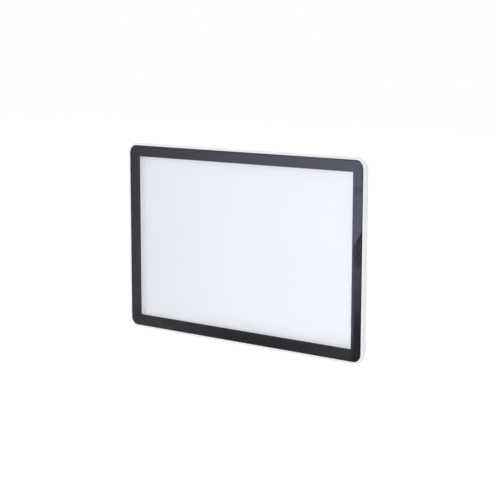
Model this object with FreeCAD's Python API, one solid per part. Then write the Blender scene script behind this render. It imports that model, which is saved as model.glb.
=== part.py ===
"""Slim outdoor wall light: a glass-fronted, edge-lit LED panel that hangs on a wall bracket.

The frame is X to the right, Y into the wall and Z up, in millimetres. The origin is the centre
of the bracket's back face, which lies on the wall. Sizes across the light's thickness are
depths: distances out from the wall, so a depth of d is the plane y = -d.
"""

import FreeCAD
import Part
import math
import os

Vector = FreeCAD.Vector

# Front panel: white frame that shows as a thin rim, and glass with a black border
panel_width = 300.0
panel_height = 200.0
panel_corner = 10.7
rim_width = 2.2
edge_depth = 4.8
front_edge_cut = 0.4
back_edge_cut = 1.0
glass_thickness = 3.0
gasket_wall = 0.9
gasket_seat = 0.5
print_thickness = 0.15
border_side = 12.6
border_end = 11.9
air_gap = 4.0
ledge_setback = 1.2
ledge_lip = 1.8
ledge_core_depth = 2.2

# Frame skirt that reaches back to the box's flange, and its screw bosses
skirt_inset = 7.0
skirt_wall = 1.6
skirt_corner = 5.0
skirt_root = 1.0
seal_thickness = 0.5
frame_boss_radius = 2.6
frame_boss_inset = 3.4
boss_clearance = 0.3

# Optical stack, from the tray to the front
tray_sheet = 1.2
tray_clearance = 0.3
lip_clearance = 0.2
reflector_thickness = 0.3
guide_thickness = 3.0
guide_gap = 0.8
guide_corner = 1.0
guide_pad_length = 50.0
diffuser_thickness = 1.5
stack_clearance = 0.1
led_board_thickness = 1.6
led_board_height = 3.0
led_notch_length = 4.0
led_notch_height = 1.2
led_body = 0.8
led_length = 3.0
led_height = 1.4
leds_per_board = 14

# Back box
box_inset = 22.0
box_corner = 9.0
box_wall = 2.5
box_edge_cut = 0.8
rear_wall = 2.5
recess_depth = 8.0
skirt_gap = 0.8
chamber_depth = 14.5
flange_thickness = 2.5
gussets_long_side = 4
gussets_short_side = 2
gusset_spacing = 62.0
gusset_reach = 11.0
gusset_thickness = 2.0
weld = 0.4

# Wall bracket
bracket_thickness = 1.5
bracket_side_gap = 7.5
bracket_corner = 6.0
bracket_top_drop = 3.0
bracket_low_gap = 4.0
wall_slot_inset_x = 18.0
wall_slot_inset_z = 20.0
wall_slot_length = 10.0
wall_slot_radius = 2.75
box_slot_spacing = 60.0
box_slot_length = 9.0
box_slot_radius = 2.1
bead_length = 110.0
bead_width = 8.0
bead_height = 1.3
bead_high_drop = 32.0
bead_low_rise = 15.5
cable_z = -22.0
cable_hole_radius = 17.0
bush_wall = 1.5
bush_lip_width = 2.5
bush_lip_thickness = 1.2

# Swing hinge: pins in the box hang in open hooks on the bracket
hinge_x = 80.0
hinge_drop = 2.5
hinge_depth = 4.0
pin_radius = 1.5
pin_clearance = 0.1
pin_stand = 0.6
lug_thickness = 3.0
lug_gap = 6.0
lug_wall = 1.4
hook_thickness = 1.5
hook_front_wall = 1.6
hook_back_wall = 1.5
hook_front_rise = 1.0
hook_back_rise = 0.3
hook_foot = 12.0
hook_notch_width = 8.0
relief_depth = 3.5
relief_rise = 1.0

# Lock screws: set screws in the box's underside, below two tabs of the bracket
lock_x = 80.0
lock_depth = 4.5
lock_radius = 2.0
lock_clearance = 0.05
lock_length = 6.0
lock_gap = 0.3
lock_point_radius = 1.4
lock_point_length = 1.0
lock_socket_across = 2.0
lock_socket_depth = 2.5
lock_boss_wall = 1.6
lock_boss_gap = 1.0
lock_tab_width = 14.0
lock_tab_reach = 7.0

# Driver
driver_end_gap = 10.5
driver_top_gap = 20.5
driver_length = 132.0
driver_width = 42.0
driver_height = 13.0
driver_wall = 1.5
driver_corner = 3.0
driver_cover = 1.5
driver_rim_gap = 0.1
driver_rib = 2.0
driver_rib_end_gap = 4.0
driver_ear = 9.0
driver_ear_width = 12.0
driver_ear_thickness = 2.0
driver_board_thickness = 1.2
driver_board_standoff = 1.6
driver_board_clearance = 0.5
driver_part_clearance = 0.5
transformer_size = (20.0, 18.0)
transformer_x = 6.0
choke_size = (10.0, 16.0)
choke_height = 4.0
choke_places = (-46.0, 40.0)
choke_rise = 6.0
capacitor_radius = 3.5
capacitor_height = 4.6
capacitor_places = (-30.0, -20.0, 26.0)
capacitor_drop = 9.0
relay_size = (8.0, 6.0)
relay_height = 2.6
relay_places = (-53.0, 53.0)
relay_drop = 12.0
component_cut = 1.0

# Lever terminal: z grows towards its outputs, the levers' free ends point down to its inputs
terminal_gap = 35.0
terminal_drop = 25.0
terminal_length = 18.0
terminal_height = 7.5
terminal_wall = 1.2
terminal_cut = 0.8
pole_pitch = 6.5
lever_width = 4.6
lever_length = 7.4
lever_thickness = 1.3
lever_hub_radius = 1.6
lever_axle_radius = 0.9
lever_axle_offset = 2.5
lever_clearance = 0.05
lever_side_gap = 0.3
port_depth = 2.7
port_clearance = 0.1
port_length = 4.0
contact_width = 2.2
contact_thickness = 1.4
peg_radius = 1.2
peg_length = 1.5

# Cable grommet, vent and earth stud
grommet_bore_radius = 4.0
grommet_wall = 2.0
grommet_flange_width = 3.5
grommet_flange_thickness = 1.6
grommet_lip_width = 1.5
grommet_nose = 4.9
grommet_nose_taper = 0.8
vent_x = 60.0
vent_rise = 30.5
vent_radius = 5.0
vent_fit = 0.02
vent_head_across = 14.0
vent_head_thickness = 3.0
vent_roof = 1.0
vent_bore_radius = 3.0
vent_slots = 3
vent_slot_width = 1.6
vent_tail = 1.5
vent_seal_width = 1.6
vent_seal_thickness = 0.8
membrane_thickness = 0.3
membrane_margin = 0.9
earth_run = 11.0
earth_z = -34.0
earth_radius = 2.0
earth_embed = 1.6
earth_height = 8.0
earth_boss_radius = 4.5
earth_tag_radius = 4.0
earth_tag_thickness = 0.8
earth_barrel_wall = 0.5
earth_barrel_gap = 0.5
earth_barrel_length = 6.0
earth_nut_height = 3.2
earth_nut_across = 7.0

# Leads and the clips that hold them on the box's floor
mains_lead_radius = 1.1
mains_lead_pitch = 4.5
mains_lead_rise = 2.5
led_lead_radius = 0.6
led_lead_x = 10.0
led_lead_climb = 15.5
led_lead_landing = 8.0
lead_groove_clearance = 0.2
tray_hole_clearance = 0.5
clip_wall = 1.2
clip_length = 4.0
clip_rise = 1.0
clip_z = -25.0

# Screws
screw_radius = 1.5
screw_head_radius = 2.7
screw_head_height = 1.9
screw_clearance = 0.15
thread_fit = 0.02
frame_screw_length = 9.0
driver_screw_length = 3.8
hole_bottom = 0.4

# Flat sides that small round forms get, to keep the facets few
bar_sides = 10
ring_sides = 24
lead_sides = 6

# Depths of the layers, from the wall outwards
chamber_floor = recess_depth + rear_wall
tray_back = chamber_floor + chamber_depth
tray_front = tray_back + tray_sheet
guide_back = tray_front + reflector_thickness
guide_front = guide_back + guide_thickness
diffuser_back = guide_front + stack_clearance
diffuser_front = diffuser_back + diffuser_thickness
seat_depth = diffuser_front + air_gap
print_back = seat_depth + gasket_seat
glass_back = print_back + print_thickness
front_face = glass_back + glass_thickness
overhang_back = front_face - edge_depth
flange_back = tray_back - flange_thickness
skirt_back = tray_back + seal_thickness
lip_top = diffuser_back - lip_clearance

# Outlines across the face
skirt_width = panel_width - 2 * skirt_inset
skirt_height = panel_height - 2 * skirt_inset
skirt_inner_width = skirt_width - 2 * skirt_wall
skirt_inner_height = skirt_height - 2 * skirt_wall
skirt_inner_corner = skirt_corner - skirt_wall
pocket_width = panel_width - 2 * rim_width
pocket_height = panel_height - 2 * rim_width
pocket_corner = panel_corner - rim_width
glass_width = pocket_width - 2 * gasket_wall
glass_height = pocket_height - 2 * gasket_wall
glass_corner = pocket_corner - gasket_wall
window_width = pocket_width - 2 * border_side
window_height = pocket_height - 2 * border_end
ledge_width = window_width + 2 * ledge_setback
ledge_height = window_height + 2 * ledge_setback
tray_width = skirt_inner_width - 2 * tray_clearance
tray_height = skirt_inner_height - 2 * tray_clearance
tray_corner = skirt_inner_corner - tray_clearance
lip_inner_width = tray_width - 2 * tray_sheet
lip_inner_height = tray_height - 2 * tray_sheet
boss_x = skirt_width / 2 - frame_boss_inset
boss_z = skirt_height / 2 - frame_boss_inset
boss_room = frame_boss_radius + boss_clearance
board_outer_z = lip_inner_height / 2
board_inner_z = board_outer_z - led_board_thickness
board_half = boss_x - boss_room
guide_width = 2 * (boss_x - boss_room)
guide_height = 2 * min(boss_z - boss_room, board_inner_z - led_body - guide_gap)
box_width = panel_width - 2 * box_inset
box_height = panel_height - 2 * box_inset
box_inner_width = box_width - 2 * box_wall
box_inner_height = box_height - 2 * box_wall
box_inner_corner = box_corner - box_wall
box_side = box_inner_width / 2
box_top = box_inner_height / 2

# Places worked out from the sizes above
frame_boss_places = [(sx * boss_x, sz * boss_z) for sx in (-1, 1) for sz in (-1, 0, 1)]
hinge_z = box_top - hinge_drop
bracket_top = hinge_z - bracket_top_drop
bracket_bottom = box_top - bracket_low_gap
bracket_width = 2 * (box_side - bracket_side_gap)
wall_slot_x = bracket_width / 2 - wall_slot_inset_x
wall_slot_z = bracket_top - wall_slot_inset_z
bead_places = (bracket_top - bead_high_drop, bead_low_rise - bracket_bottom)
vent_z = vent_rise - box_top
driver_right = box_side - driver_end_gap - driver_ear
driver_left = driver_right - driver_length
driver_x = (driver_left + driver_right) / 2
driver_top = box_top - driver_top_gap
driver_low = driver_top - driver_width
driver_z = (driver_low + driver_top) / 2
terminal_x = driver_left - driver_ear - terminal_gap
cable_x = terminal_x
terminal_z = driver_top - terminal_drop
axle_depth = chamber_floor + terminal_height - lever_hub_radius
axle_z = terminal_z + lever_axle_offset
terminal_low = terminal_z - terminal_length / 2
terminal_high = terminal_z + terminal_length / 2
terminal_width = 3 * pole_pitch + terminal_wall
pole_places = {"live": terminal_x - pole_pitch, "neutral": terminal_x, "earth": terminal_x + pole_pitch}
lead_depth = chamber_floor + port_depth
earth_x = pole_places["earth"] + earth_run
earth_boss_height = port_depth - earth_barrel_wall - mains_lead_radius
lock_tip_z = -bracket_bottom - lock_gap
led_lead_z = (board_outer_z + board_inner_z) / 2
groove_depth = 2 * (led_lead_radius + lead_groove_clearance)
groove_centre = tray_back - groove_depth / 2
notch_cut = boss_room * (2 - math.sqrt(2))


def outline(width, height, corner, depth, x=0.0, z=0.0):
    """Closed wire of a rounded rectangle in the plane at a depth."""
    y = -depth
    left = x - width / 2
    right = x + width / 2
    low = z - height / 2
    high = z + height / 2
    if corner <= 0.0:
        points = [(left, low), (right, low), (right, high), (left, high), (left, low)]
        return Part.makePolygon([Vector(a, y, b) for a, b in points])
    r = min(corner, width / 2, height / 2)
    k = r * (1 - math.sqrt(0.5))
    sides = [
        ((left + r, low), (right - r, low), (right - k, low + k), (right, low + r)),
        ((right, low + r), (right, high - r), (right - k, high - k), (right - r, high)),
        ((right - r, high), (left + r, high), (left + k, high - k), (left, high - r)),
        ((left, high - r), (left, low + r), (left + k, low + k), (left + r, low)),
    ]
    edges = []
    for side in sides:
        start, end, middle, after = [Vector(a, y, b) for a, b in side]
        if start.distanceToPoint(end) > 1e-6:
            edges.append(Part.LineSegment(start, end).toShape())
        edges.append(Part.Arc(end, middle, after).toShape())
    return Part.Wire(edges)


def slab(width, height, corner, back, front, x=0.0, z=0.0):
    """Rounded block between two depths."""
    face = Part.Face(outline(width, height, corner, back, x, z))
    return face.extrude(Vector(0, back - front, 0))


def block(x_range, depth_range, z_range):
    """Plain block from its limits along X, in depth and along Z."""
    low = Vector(x_range[0], -depth_range[1], z_range[0])
    size = (x_range[1] - x_range[0], depth_range[1] - depth_range[0], z_range[1] - z_range[0])
    return Part.makeBox(*size, low)


def rod(radius, back, front, x, z):
    """Round rod along the depth."""
    return Part.makeCylinder(radius, front - back, Vector(x, -back, z), Vector(0, -1, 0))


def cross_bar(radius, start_x, end_x, depth, z):
    """Round bar along X."""
    return Part.makeCylinder(radius, end_x - start_x, Vector(start_x, -depth, z), Vector(1, 0, 0))


def ring(radius, centre, direction, sides):
    """Closed wire of flat sides with its corners at the radius."""
    return Part.makePolygon(Part.makeCircle(radius, centre, direction).discretize(sides + 1))


def prism(across, centre, direction, length, sides=6):
    """Bar of flat sides by its width across them."""
    base = ring(across / 2 / math.cos(math.pi / sides), centre, direction, sides)
    return Part.Face(base).extrude(Vector(direction) * length)


def facet_rod(radius, back, front, x, z, sides=bar_sides):
    """Flat-sided bar along the depth, for a small round one or the hole that it fits."""
    return prism(2 * radius, Vector(x, -back, z), Vector(0, -1, 0), front - back, sides)


def facet_bar(radius, start_x, end_x, depth, z):
    """Flat-sided bar along X."""
    return prism(2 * radius, Vector(start_x, -depth, z), Vector(1, 0, 0), end_x - start_x, bar_sides)


def facet_post(radius, low, high, x, depth):
    """Flat-sided bar along Z."""
    return prism(2 * radius, Vector(x, -depth, low), Vector(0, 0, 1), high - low, bar_sides)


def stepped(profile, x, z):
    """Flat-sided body about a line along the depth, from (radius, depth) points up its outside."""
    parts = []
    for low, high in zip(profile, profile[1:]):
        if high[1] > low[1]:
            ends = [ring(r, Vector(x, -depth, z), Vector(0, -1, 0), ring_sides) for r, depth in (low, high)]
            parts.append(Part.makeLoft(ends, True, True))
    return union(parts)


def plate(width, height, cut, back, front, x=0.0, z=0.0):
    """Block between two depths with its corners cut at 45 degrees."""
    points = []
    for sx, sz in ((1, 1), (-1, 1), (-1, -1), (1, -1)):
        pair = [(sx * width / 2, sz * (height / 2 - cut)), (sx * (width / 2 - cut), sz * height / 2)]
        points += pair if sx == sz else pair[::-1]
    corners = [Vector(x + a, -back, z + b) for a, b in points]
    return Part.Face(Part.makePolygon(corners + corners[:1])).extrude(Vector(0, back - front, 0))


def union(shapes):
    """One solid from shapes that touch or overlap."""
    return shapes[0].multiFuse(shapes[1:]).removeSplitter()


def cut_all(shape, tools):
    """Shape less every tool."""
    return shape.cut(Part.makeCompound(tools))


def outer_edges(shape, depth, width, height):
    """Edges of a rounded outline of that size in the plane at a depth."""
    found = []
    for edge in shape.Edges:
        box = edge.BoundBox
        flat = abs(box.YMin + depth) < 1e-4 and abs(box.YMax + depth) < 1e-4
        on_side = abs(max(abs(box.XMin), abs(box.XMax)) - width / 2) < 1e-3
        on_end = abs(max(abs(box.ZMin), abs(box.ZMax)) - height / 2) < 1e-3
        if flat and (on_side or on_end):
            found.append(edge)
    return found


def screw(x, z, seat, length, towards):
    """Cap screw along the depth; towards is 1 where its tip points away from the wall, else -1."""
    out = Vector(0, -towards, 0)
    place = Vector(x, -seat, z)
    top = place - out * screw_head_height
    shank = prism(2 * screw_radius, place, out, length, bar_sides)
    head = prism(2 * screw_head_radius, top, out, screw_head_height, bar_sides)
    return union([shank, head])


def lead(points, radius):
    """Tube along straight runs joined by tangent arcs, each as large as its runs allow."""
    route = [Vector(x, -depth, z) for x, depth, z in points]
    edges = []
    start = route[0]
    radii = []
    for before, corner, after in zip(route, route[1:], route[2:]):
        arrive = (corner - before).normalize()
        leave = (after - corner).normalize()
        half_turn = arrive.getAngle(leave) / 2
        reach = 0.45 * min(before.distanceToPoint(corner), corner.distanceToPoint(after))
        bend = reach / math.tan(half_turn)
        inward = (leave - arrive).normalize()
        middle = corner + inward * (bend / math.cos(half_turn) - bend)
        first = corner - arrive * reach
        last = corner + leave * reach
        edges.append(Part.LineSegment(start, first).toShape())
        edges.append(Part.Arc(first, middle, last).toShape())
        radii.append(bend)
        start = last
    edges.append(Part.LineSegment(start, route[-1]).toShape())
    path = Part.Wire(edges)
    section = ring(radius, route[0], route[1] - route[0], lead_sides)
    tube = path.makePipeShell([section], True, False)
    share = tube.Volume / (Part.Face(section).Area * path.Length)
    print("lead %.0f mm, radii %s, volume share %.4f" % (path.Length, [round(r, 1) for r in radii], share))
    return tube


def notches(back, front):
    """Room round each screw boss, open outwards, for what lies among the bosses."""
    found = []
    for x, z in frame_boss_places:
        run_z = frame_boss_inset if z else 0.0
        centre = (x + math.copysign(frame_boss_inset / 2, x), z + math.copysign(run_z / 2, z))
        size = (2 * boss_room + frame_boss_inset, 2 * boss_room + run_z, notch_cut)
        found.append(plate(*size, back, front, *centre))
    return found


def front_frame():
    """White frame: thin rim round the glass, ledge behind it, skirt and screw bosses."""
    body = slab(panel_width, panel_height, panel_corner, overhang_back, front_face)
    body = body.makeChamfer(back_edge_cut, outer_edges(body, overhang_back, panel_width, panel_height))
    body = body.makeChamfer(front_edge_cut, outer_edges(body, front_face, panel_width, panel_height))
    skirt = slab(skirt_width, skirt_height, skirt_corner, skirt_back, overhang_back + skirt_root)
    inner = (skirt_inner_width, skirt_inner_height, skirt_inner_corner)
    hollow = plate(*inner, skirt_back, diffuser_front)
    core_front = diffuser_front + ledge_core_depth
    core = plate(*inner, diffuser_front, core_front)
    lip_size = (ledge_width + 2 * ledge_lip, ledge_height + 2 * ledge_lip, ledge_lip)
    lip = plate(*lip_size, diffuser_front, core_front)
    pocket = slab(pocket_width, pocket_height, pocket_corner, seat_depth, front_face)
    window = slab(ledge_width, ledge_height, 0.0, skirt_back, front_face)
    body = cut_all(body.fuse(skirt), [hollow, core.cut(lip), pocket, window])
    inside = slab(skirt_width, skirt_height, skirt_corner, skirt_back, core_front)
    bosses = [facet_rod(frame_boss_radius, skirt_back, core_front, *place) for place in frame_boss_places]
    bosses = [boss.common(inside) for boss in bosses]
    pilot_end = flange_back + frame_screw_length + hole_bottom
    pilot = screw_radius + thread_fit
    pilots = [facet_rod(pilot, skirt_back, pilot_end, *place) for place in frame_boss_places]
    return cut_all(union([body] + bosses), pilots)


def frame_seal():
    """Flat rubber seal between the frame's skirt and the box's flange, with a pad at each screw."""
    depths = (tray_back, skirt_back)
    whole = slab(skirt_width, skirt_height, skirt_corner, *depths)
    inner = plate(skirt_inner_width, skirt_inner_height, skirt_inner_corner, *depths)
    pads = [facet_rod(frame_boss_radius, *depths, *place).common(whole) for place in frame_boss_places]
    hole = screw_radius + screw_clearance
    holes = [facet_rod(hole, *depths, *place) for place in frame_boss_places]
    return cut_all(union([whole.cut(inner)] + pads), holes)


def frame_screws():
    """Screws from behind, through the flange into the frame's bosses."""
    length = frame_screw_length
    return Part.makeCompound([screw(x, z, flange_back, length, 1) for x, z in frame_boss_places])


def glass_gasket():
    """Black silicone seal, L-shaped in section: a seat under the glass and a wall round its edge."""
    whole = slab(pocket_width, pocket_height, pocket_corner, seat_depth, front_face)
    room = slab(glass_width, glass_height, glass_corner, print_back, front_face)
    return cut_all(whole, [room, slab(ledge_width, ledge_height, 0.0, seat_depth, front_face)])


def border_print():
    """Black border fired onto the back of the glass, with sharp inner corners."""
    whole = slab(glass_width, glass_height, glass_corner, print_back, glass_back)
    return whole.cut(slab(window_width, window_height, 0.0, print_back, glass_back))


def glass_pane():
    """Toughened glass, flush with the rim."""
    return slab(glass_width, glass_height, glass_corner, glass_back, front_face)


def diffuser_sheet():
    """Opal sheet clamped under the frame's ledge, notched for the bosses."""
    sheet = plate(tray_width, tray_height, tray_corner, diffuser_back, diffuser_front)
    return cut_all(sheet, notches(diffuser_back, diffuser_front))


def light_guide():
    """Clear plate that takes in light at its long edges."""
    return plate(guide_width, guide_height, guide_corner, guide_back, guide_front)


def reflector_sheet():
    """White film behind the light guide."""
    return plate(guide_width, guide_height, guide_corner, tray_front, guide_back)


def guide_pads():
    """Soft pads that centre the light guide between the tray's short lips."""
    thickness = (lip_inner_width - guide_width) / 2
    x = (guide_width + thickness) / 2
    z = guide_height / 4
    size = (thickness, guide_pad_length, 0.0)
    pads = [slab(*size, guide_back, guide_front, sx * x, sz * z) for sx in (-1, 1) for sz in (-1, 1)]
    return Part.makeCompound(pads)


def heat_tray():
    """Folded aluminium tray whose turned-up edges carry the LED boards and spread their heat."""
    whole = plate(tray_width, tray_height, tray_corner, tray_back, lip_top)
    inner = plate(lip_inner_width, lip_inner_height, tray_corner - tray_sheet, tray_front, lip_top)
    hole = led_lead_radius + tray_hole_clearance
    passages = [facet_rod(hole, tray_back, tray_front, led_lead_x, side * led_lead_z) for side in (-1, 1)]
    return cut_all(whole, [inner] + notches(tray_back, lip_top) + passages)


def led_strip(side):
    """Circuit board on edge along a long side of the tray, notched where its lead arrives."""
    z_range = sorted((side * board_inner_z, side * board_outer_z))
    board = block((-board_half, board_half), (tray_front, tray_front + led_board_height), z_range)
    notch = (led_lead_x - led_notch_length / 2, led_lead_x + led_notch_length / 2)
    return board.cut(block(notch, (tray_front, tray_front + led_notch_height), z_range))


def led_chips(side):
    """LEDs on one board, level with the middle of the light guide."""
    z_range = sorted((side * board_inner_z, side * (board_inner_z - led_body)))
    centre = (guide_back + guide_front) / 2
    depths = (centre - led_height / 2, centre + led_height / 2)
    pitch = 2 * board_half / leds_per_board
    chips = []
    for i in range(leds_per_board):
        x = pitch * (i + 0.5) - board_half
        chips.append(block((x - led_length / 2, x + led_length / 2), depths, z_range))
    return Part.makeCompound(chips)


def gusset(x, z, along_x):
    """Triangular web between the box's outer wall and the back of the flange."""
    wall = box_width / 2 if along_x else box_height / 2
    low = flange_back - gusset_reach
    profile = [
        (wall - weld, flange_back + weld),
        (wall + gusset_reach, flange_back + weld),
        (wall + gusset_reach, flange_back),
        (wall, low),
        (wall - weld, low),
    ]
    half = gusset_thickness / 2
    if along_x:
        points = [Vector(math.copysign(a, x), -d, z - half) for a, d in profile]
        return Part.Face(Part.makePolygon(points + points[:1])).extrude(Vector(0, 0, gusset_thickness))
    points = [Vector(x - half, -d, math.copysign(a, z)) for a, d in profile]
    return Part.Face(Part.makePolygon(points + points[:1])).extrude(Vector(gusset_thickness, 0, 0))


def gussets():
    """Webs along all four sides of the box."""
    found = []
    for side in (-1, 1):
        for i in range(gussets_long_side):
            found.append(gusset((i - (gussets_long_side - 1) / 2) * gusset_spacing, side, False))
        for i in range(gussets_short_side):
            found.append(gusset(side, (i - (gussets_short_side - 1) / 2) * gusset_spacing, True))
    return found


def hinge_lugs():
    """Two pairs of lugs in the box's recess, either side of the bracket's hooks."""
    radius = pin_radius + lug_wall
    found = []
    for side in (-1, 1):
        for inner in (-1, 1):
            middle = side * hinge_x + inner * (lug_gap + lug_thickness) / 2
            x_range = (middle - lug_thickness / 2, middle + lug_thickness / 2)
            eye = facet_bar(radius, x_range[0], x_range[1], hinge_depth, hinge_z)
            root = block(x_range, (hinge_depth, recess_depth + weld), (hinge_z - radius, box_top + weld))
            found.append(eye.fuse(root))
    return found


def lock_bosses():
    """Tapped bosses in the box's underside."""
    radius = lock_radius + lock_boss_wall
    top = -bracket_bottom - lock_boss_gap
    return [facet_post(radius, -box_height / 2, top, sx * lock_x, lock_depth) for sx in (-1, 1)]


def lead_clip():
    """Open clip on the chamber's floor that holds the long LED lead."""
    half = led_lead_radius + lead_groove_clearance
    top = lead_depth + led_lead_radius + clip_rise
    z_range = (clip_z, clip_z + clip_length)
    outside = (led_lead_x - half - clip_wall, led_lead_x + half + clip_wall)
    body = block(outside, (chamber_floor - weld, top), z_range)
    return body.cut(block((led_lead_x - half, led_lead_x + half), (chamber_floor, top), z_range))


def back_box():
    """Cast housing: recess for the bracket behind, chamber in front, flange, gussets, lugs, bosses."""
    shell = slab(box_width, box_height, box_corner, skirt_gap, tray_back)
    shell = shell.makeChamfer(box_edge_cut, outer_edges(shell, skirt_gap, box_width, box_height))
    flange = slab(skirt_width, skirt_height, skirt_corner, flange_back, tray_back)
    recess = slab(box_inner_width, box_inner_height, box_inner_corner, skirt_gap, recess_depth)
    chamber = slab(box_inner_width, box_inner_height, box_inner_corner, chamber_floor, tray_back)
    relief_z = (hinge_z + relief_rise, box_height)
    relief = block((-box_width, box_width), (0, relief_depth), relief_z)
    body = cut_all(shell.fuse(flange), [recess, chamber, relief])
    boss_depths = (chamber_floor - weld, chamber_floor + earth_boss_height)
    boss = facet_rod(earth_boss_radius, *boss_depths, earth_x, earth_z)
    body = union([body, boss, lead_clip()] + gussets() + hinge_lugs() + lock_bosses())
    return cut_all(body, box_holes())


def box_holes():
    """Every hole and groove of the back box."""
    hole = screw_radius + screw_clearance
    found = [facet_rod(hole, flange_back, tray_back, x, z) for x, z in frame_boss_places]
    reach = lug_gap / 2 + lug_thickness + weld
    tap = lock_radius + lock_clearance
    for side in (-1, 1):
        middle = side * hinge_x
        found.append(facet_bar(pin_radius, middle - reach, middle + reach, hinge_depth, hinge_z))
        place = Vector(side * lock_x, -lock_depth, -box_height / 2)
        found.append(prism(2 * tap, place, Vector(0, 0, 1), box_height / 2 - bracket_bottom, ring_sides))
        half = groove_depth / 2
        z_range = sorted((side * (box_top - weld), side * (led_lead_z + half)))
        x_range = (led_lead_x - half, led_lead_x + half)
        found.append(block(x_range, (tray_back - groove_depth, tray_back), z_range))
    found.append(rod(grommet_bore_radius + grommet_wall, recess_depth, chamber_floor, cable_x, cable_z))
    found.append(facet_rod(vent_radius, recess_depth, chamber_floor, vent_x, vent_z, ring_sides))
    stud_range = (chamber_floor - earth_embed, chamber_floor + earth_boss_height)
    found.append(facet_rod(earth_radius + thread_fit, *stud_range, earth_x, earth_z))
    screw_low = chamber_floor + driver_ear_thickness - driver_screw_length - hole_bottom
    for x, z in driver_screw_places():
        found.append(facet_rod(screw_radius + thread_fit, screw_low, chamber_floor, x, z))
    for x, z in peg_places():
        found.append(facet_rod(peg_radius, chamber_floor - peg_length, chamber_floor, x, z))
    return found


def hinge_pins():
    """Steel pins held in the box's lugs."""
    half = lug_gap / 2 + lug_thickness + pin_stand
    pins = []
    for side in (-1, 1):
        middle = side * hinge_x
        pins.append(cross_bar(pin_radius, middle - half, middle + half, hinge_depth, hinge_z))
    return Part.makeCompound(pins)


def hook(side):
    """Ear of the bracket with an open notch for a hinge pin, its round bottom under the pin."""
    notch = pin_radius + pin_clearance
    front = hinge_depth + notch + hook_front_wall
    back = hinge_depth - notch - hook_back_wall
    low = bracket_top - hook_foot
    profile = [
        (0.0, low),
        (hinge_depth, low),
        (front, low + hook_foot / 3),
        (front, hinge_z + hook_front_rise),
        (hinge_depth, hinge_z + hook_front_rise),
        (hinge_depth, hinge_z + hook_back_rise),
        (back, hinge_z + hook_back_rise),
        (back, bracket_top),
        (0.0, bracket_top),
    ]
    x = side * hinge_x - hook_thickness / 2
    points = [Vector(x, -depth, z) for depth, z in profile]
    ear = Part.Face(Part.makePolygon(points + points[:1])).extrude(Vector(hook_thickness, 0, 0))
    x_range = (x - weld, x + hook_thickness + weld)
    throat = block(x_range, (hinge_depth - notch, hinge_depth + notch), (hinge_z, hinge_z + 2 * notch))
    return ear.cut(cross_bar(notch, x_range[0], x_range[1], hinge_depth, hinge_z)).cut(throat)


def bead(z):
    """Pressed stiffening bead of the bracket: the ridge on its front and the groove behind."""
    top = bracket_thickness + bead_height
    ridge = plate(bead_length, bead_width, bead_width / 3, bracket_thickness, top, 0.0, z)
    length = bead_length - 2 * bracket_thickness
    width = bead_width - 2 * bracket_thickness
    return ridge, plate(length, width, width / 3, 0.0, bead_height, 0.0, z)


def wall_bracket():
    """Pressed steel plate with hooks at its top and lock tabs bent forward at its bottom."""
    height = bracket_top + bracket_bottom
    middle = (bracket_top - bracket_bottom) / 2
    body = slab(bracket_width, height, bracket_corner, 0.0, bracket_thickness, 0.0, middle)
    ridges, grooves = zip(*[bead(z) for z in bead_places])
    adds = list(ridges)
    cuts = list(grooves)
    for side in (-1, 1):
        x_range = (side * lock_x - lock_tab_width / 2, side * lock_x + lock_tab_width / 2)
        z_range = (-bracket_bottom, -bracket_bottom + bracket_thickness)
        adds.append(block(x_range, (0.0, lock_tab_reach), z_range))
        edge = side * (hinge_x + hook_thickness / 2)
        notch_range = sorted((edge, edge + side * hook_notch_width))
        cuts.append(block(notch_range, (0.0, bracket_thickness), (bracket_top - hook_foot, bracket_top)))
        for sz in (-1, 1):
            place = (side * wall_slot_x, sz * wall_slot_z)
            size = (wall_slot_length, 2 * wall_slot_radius, wall_slot_radius)
            cuts.append(slab(*size, 0.0, bracket_thickness, *place))
        size = (box_slot_length, 2 * box_slot_radius, box_slot_radius)
        cuts.append(slab(*size, 0.0, bracket_thickness, cable_x + side * box_slot_spacing / 2, cable_z))
    cuts.append(rod(cable_hole_radius, 0.0, bracket_thickness, cable_x, cable_z))
    plate = cut_all(union([body] + adds), cuts)
    return union([plate, hook(-1), hook(1)])


def bracket_bush():
    """Rubber edging of the bracket's cable opening."""
    inner = cable_hole_radius - bush_wall
    lip = cable_hole_radius + bush_lip_width
    top = bracket_thickness + bush_lip_thickness
    profile = [
        (cable_hole_radius, 0.0),
        (cable_hole_radius, bracket_thickness),
        (lip, bracket_thickness),
        (lip, top - bush_lip_thickness / 2),
        (lip - bush_lip_thickness / 2, top),
    ]
    return stepped(profile, cable_x, cable_z).cut(facet_rod(inner, 0.0, top, cable_x, cable_z, ring_sides))


def lock_screw(side):
    """Socket set screw with a plain point, just below a tab of the bracket."""
    low = lock_tip_z - lock_length
    place = Vector(side * lock_x, -lock_depth, low)
    up = Vector(0, 0, 1)
    body = prism(2 * lock_radius, place, up, lock_length - lock_point_length, ring_sides)
    point = prism(2 * lock_point_radius, place, up, lock_length, ring_sides)
    return union([body, point]).cut(prism(lock_socket_across, place, up, lock_socket_depth))


def cable_grommet():
    """Rubber cable entry: flange in the recess, neck in the rear wall, tapered nose inside."""
    bore = grommet_bore_radius
    neck = bore + grommet_wall
    flange = neck + grommet_flange_width
    lip = neck + grommet_lip_width
    back = recess_depth - grommet_flange_thickness
    front = chamber_floor + grommet_nose
    profile = [
        (flange, back),
        (flange, recess_depth),
        (neck, recess_depth),
        (neck, chamber_floor),
        (lip, chamber_floor),
        (neck - grommet_nose_taper, front),
    ]
    return stepped(profile, cable_x, cable_z).cut(rod(bore, back, front, cable_x, cable_z))


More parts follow.
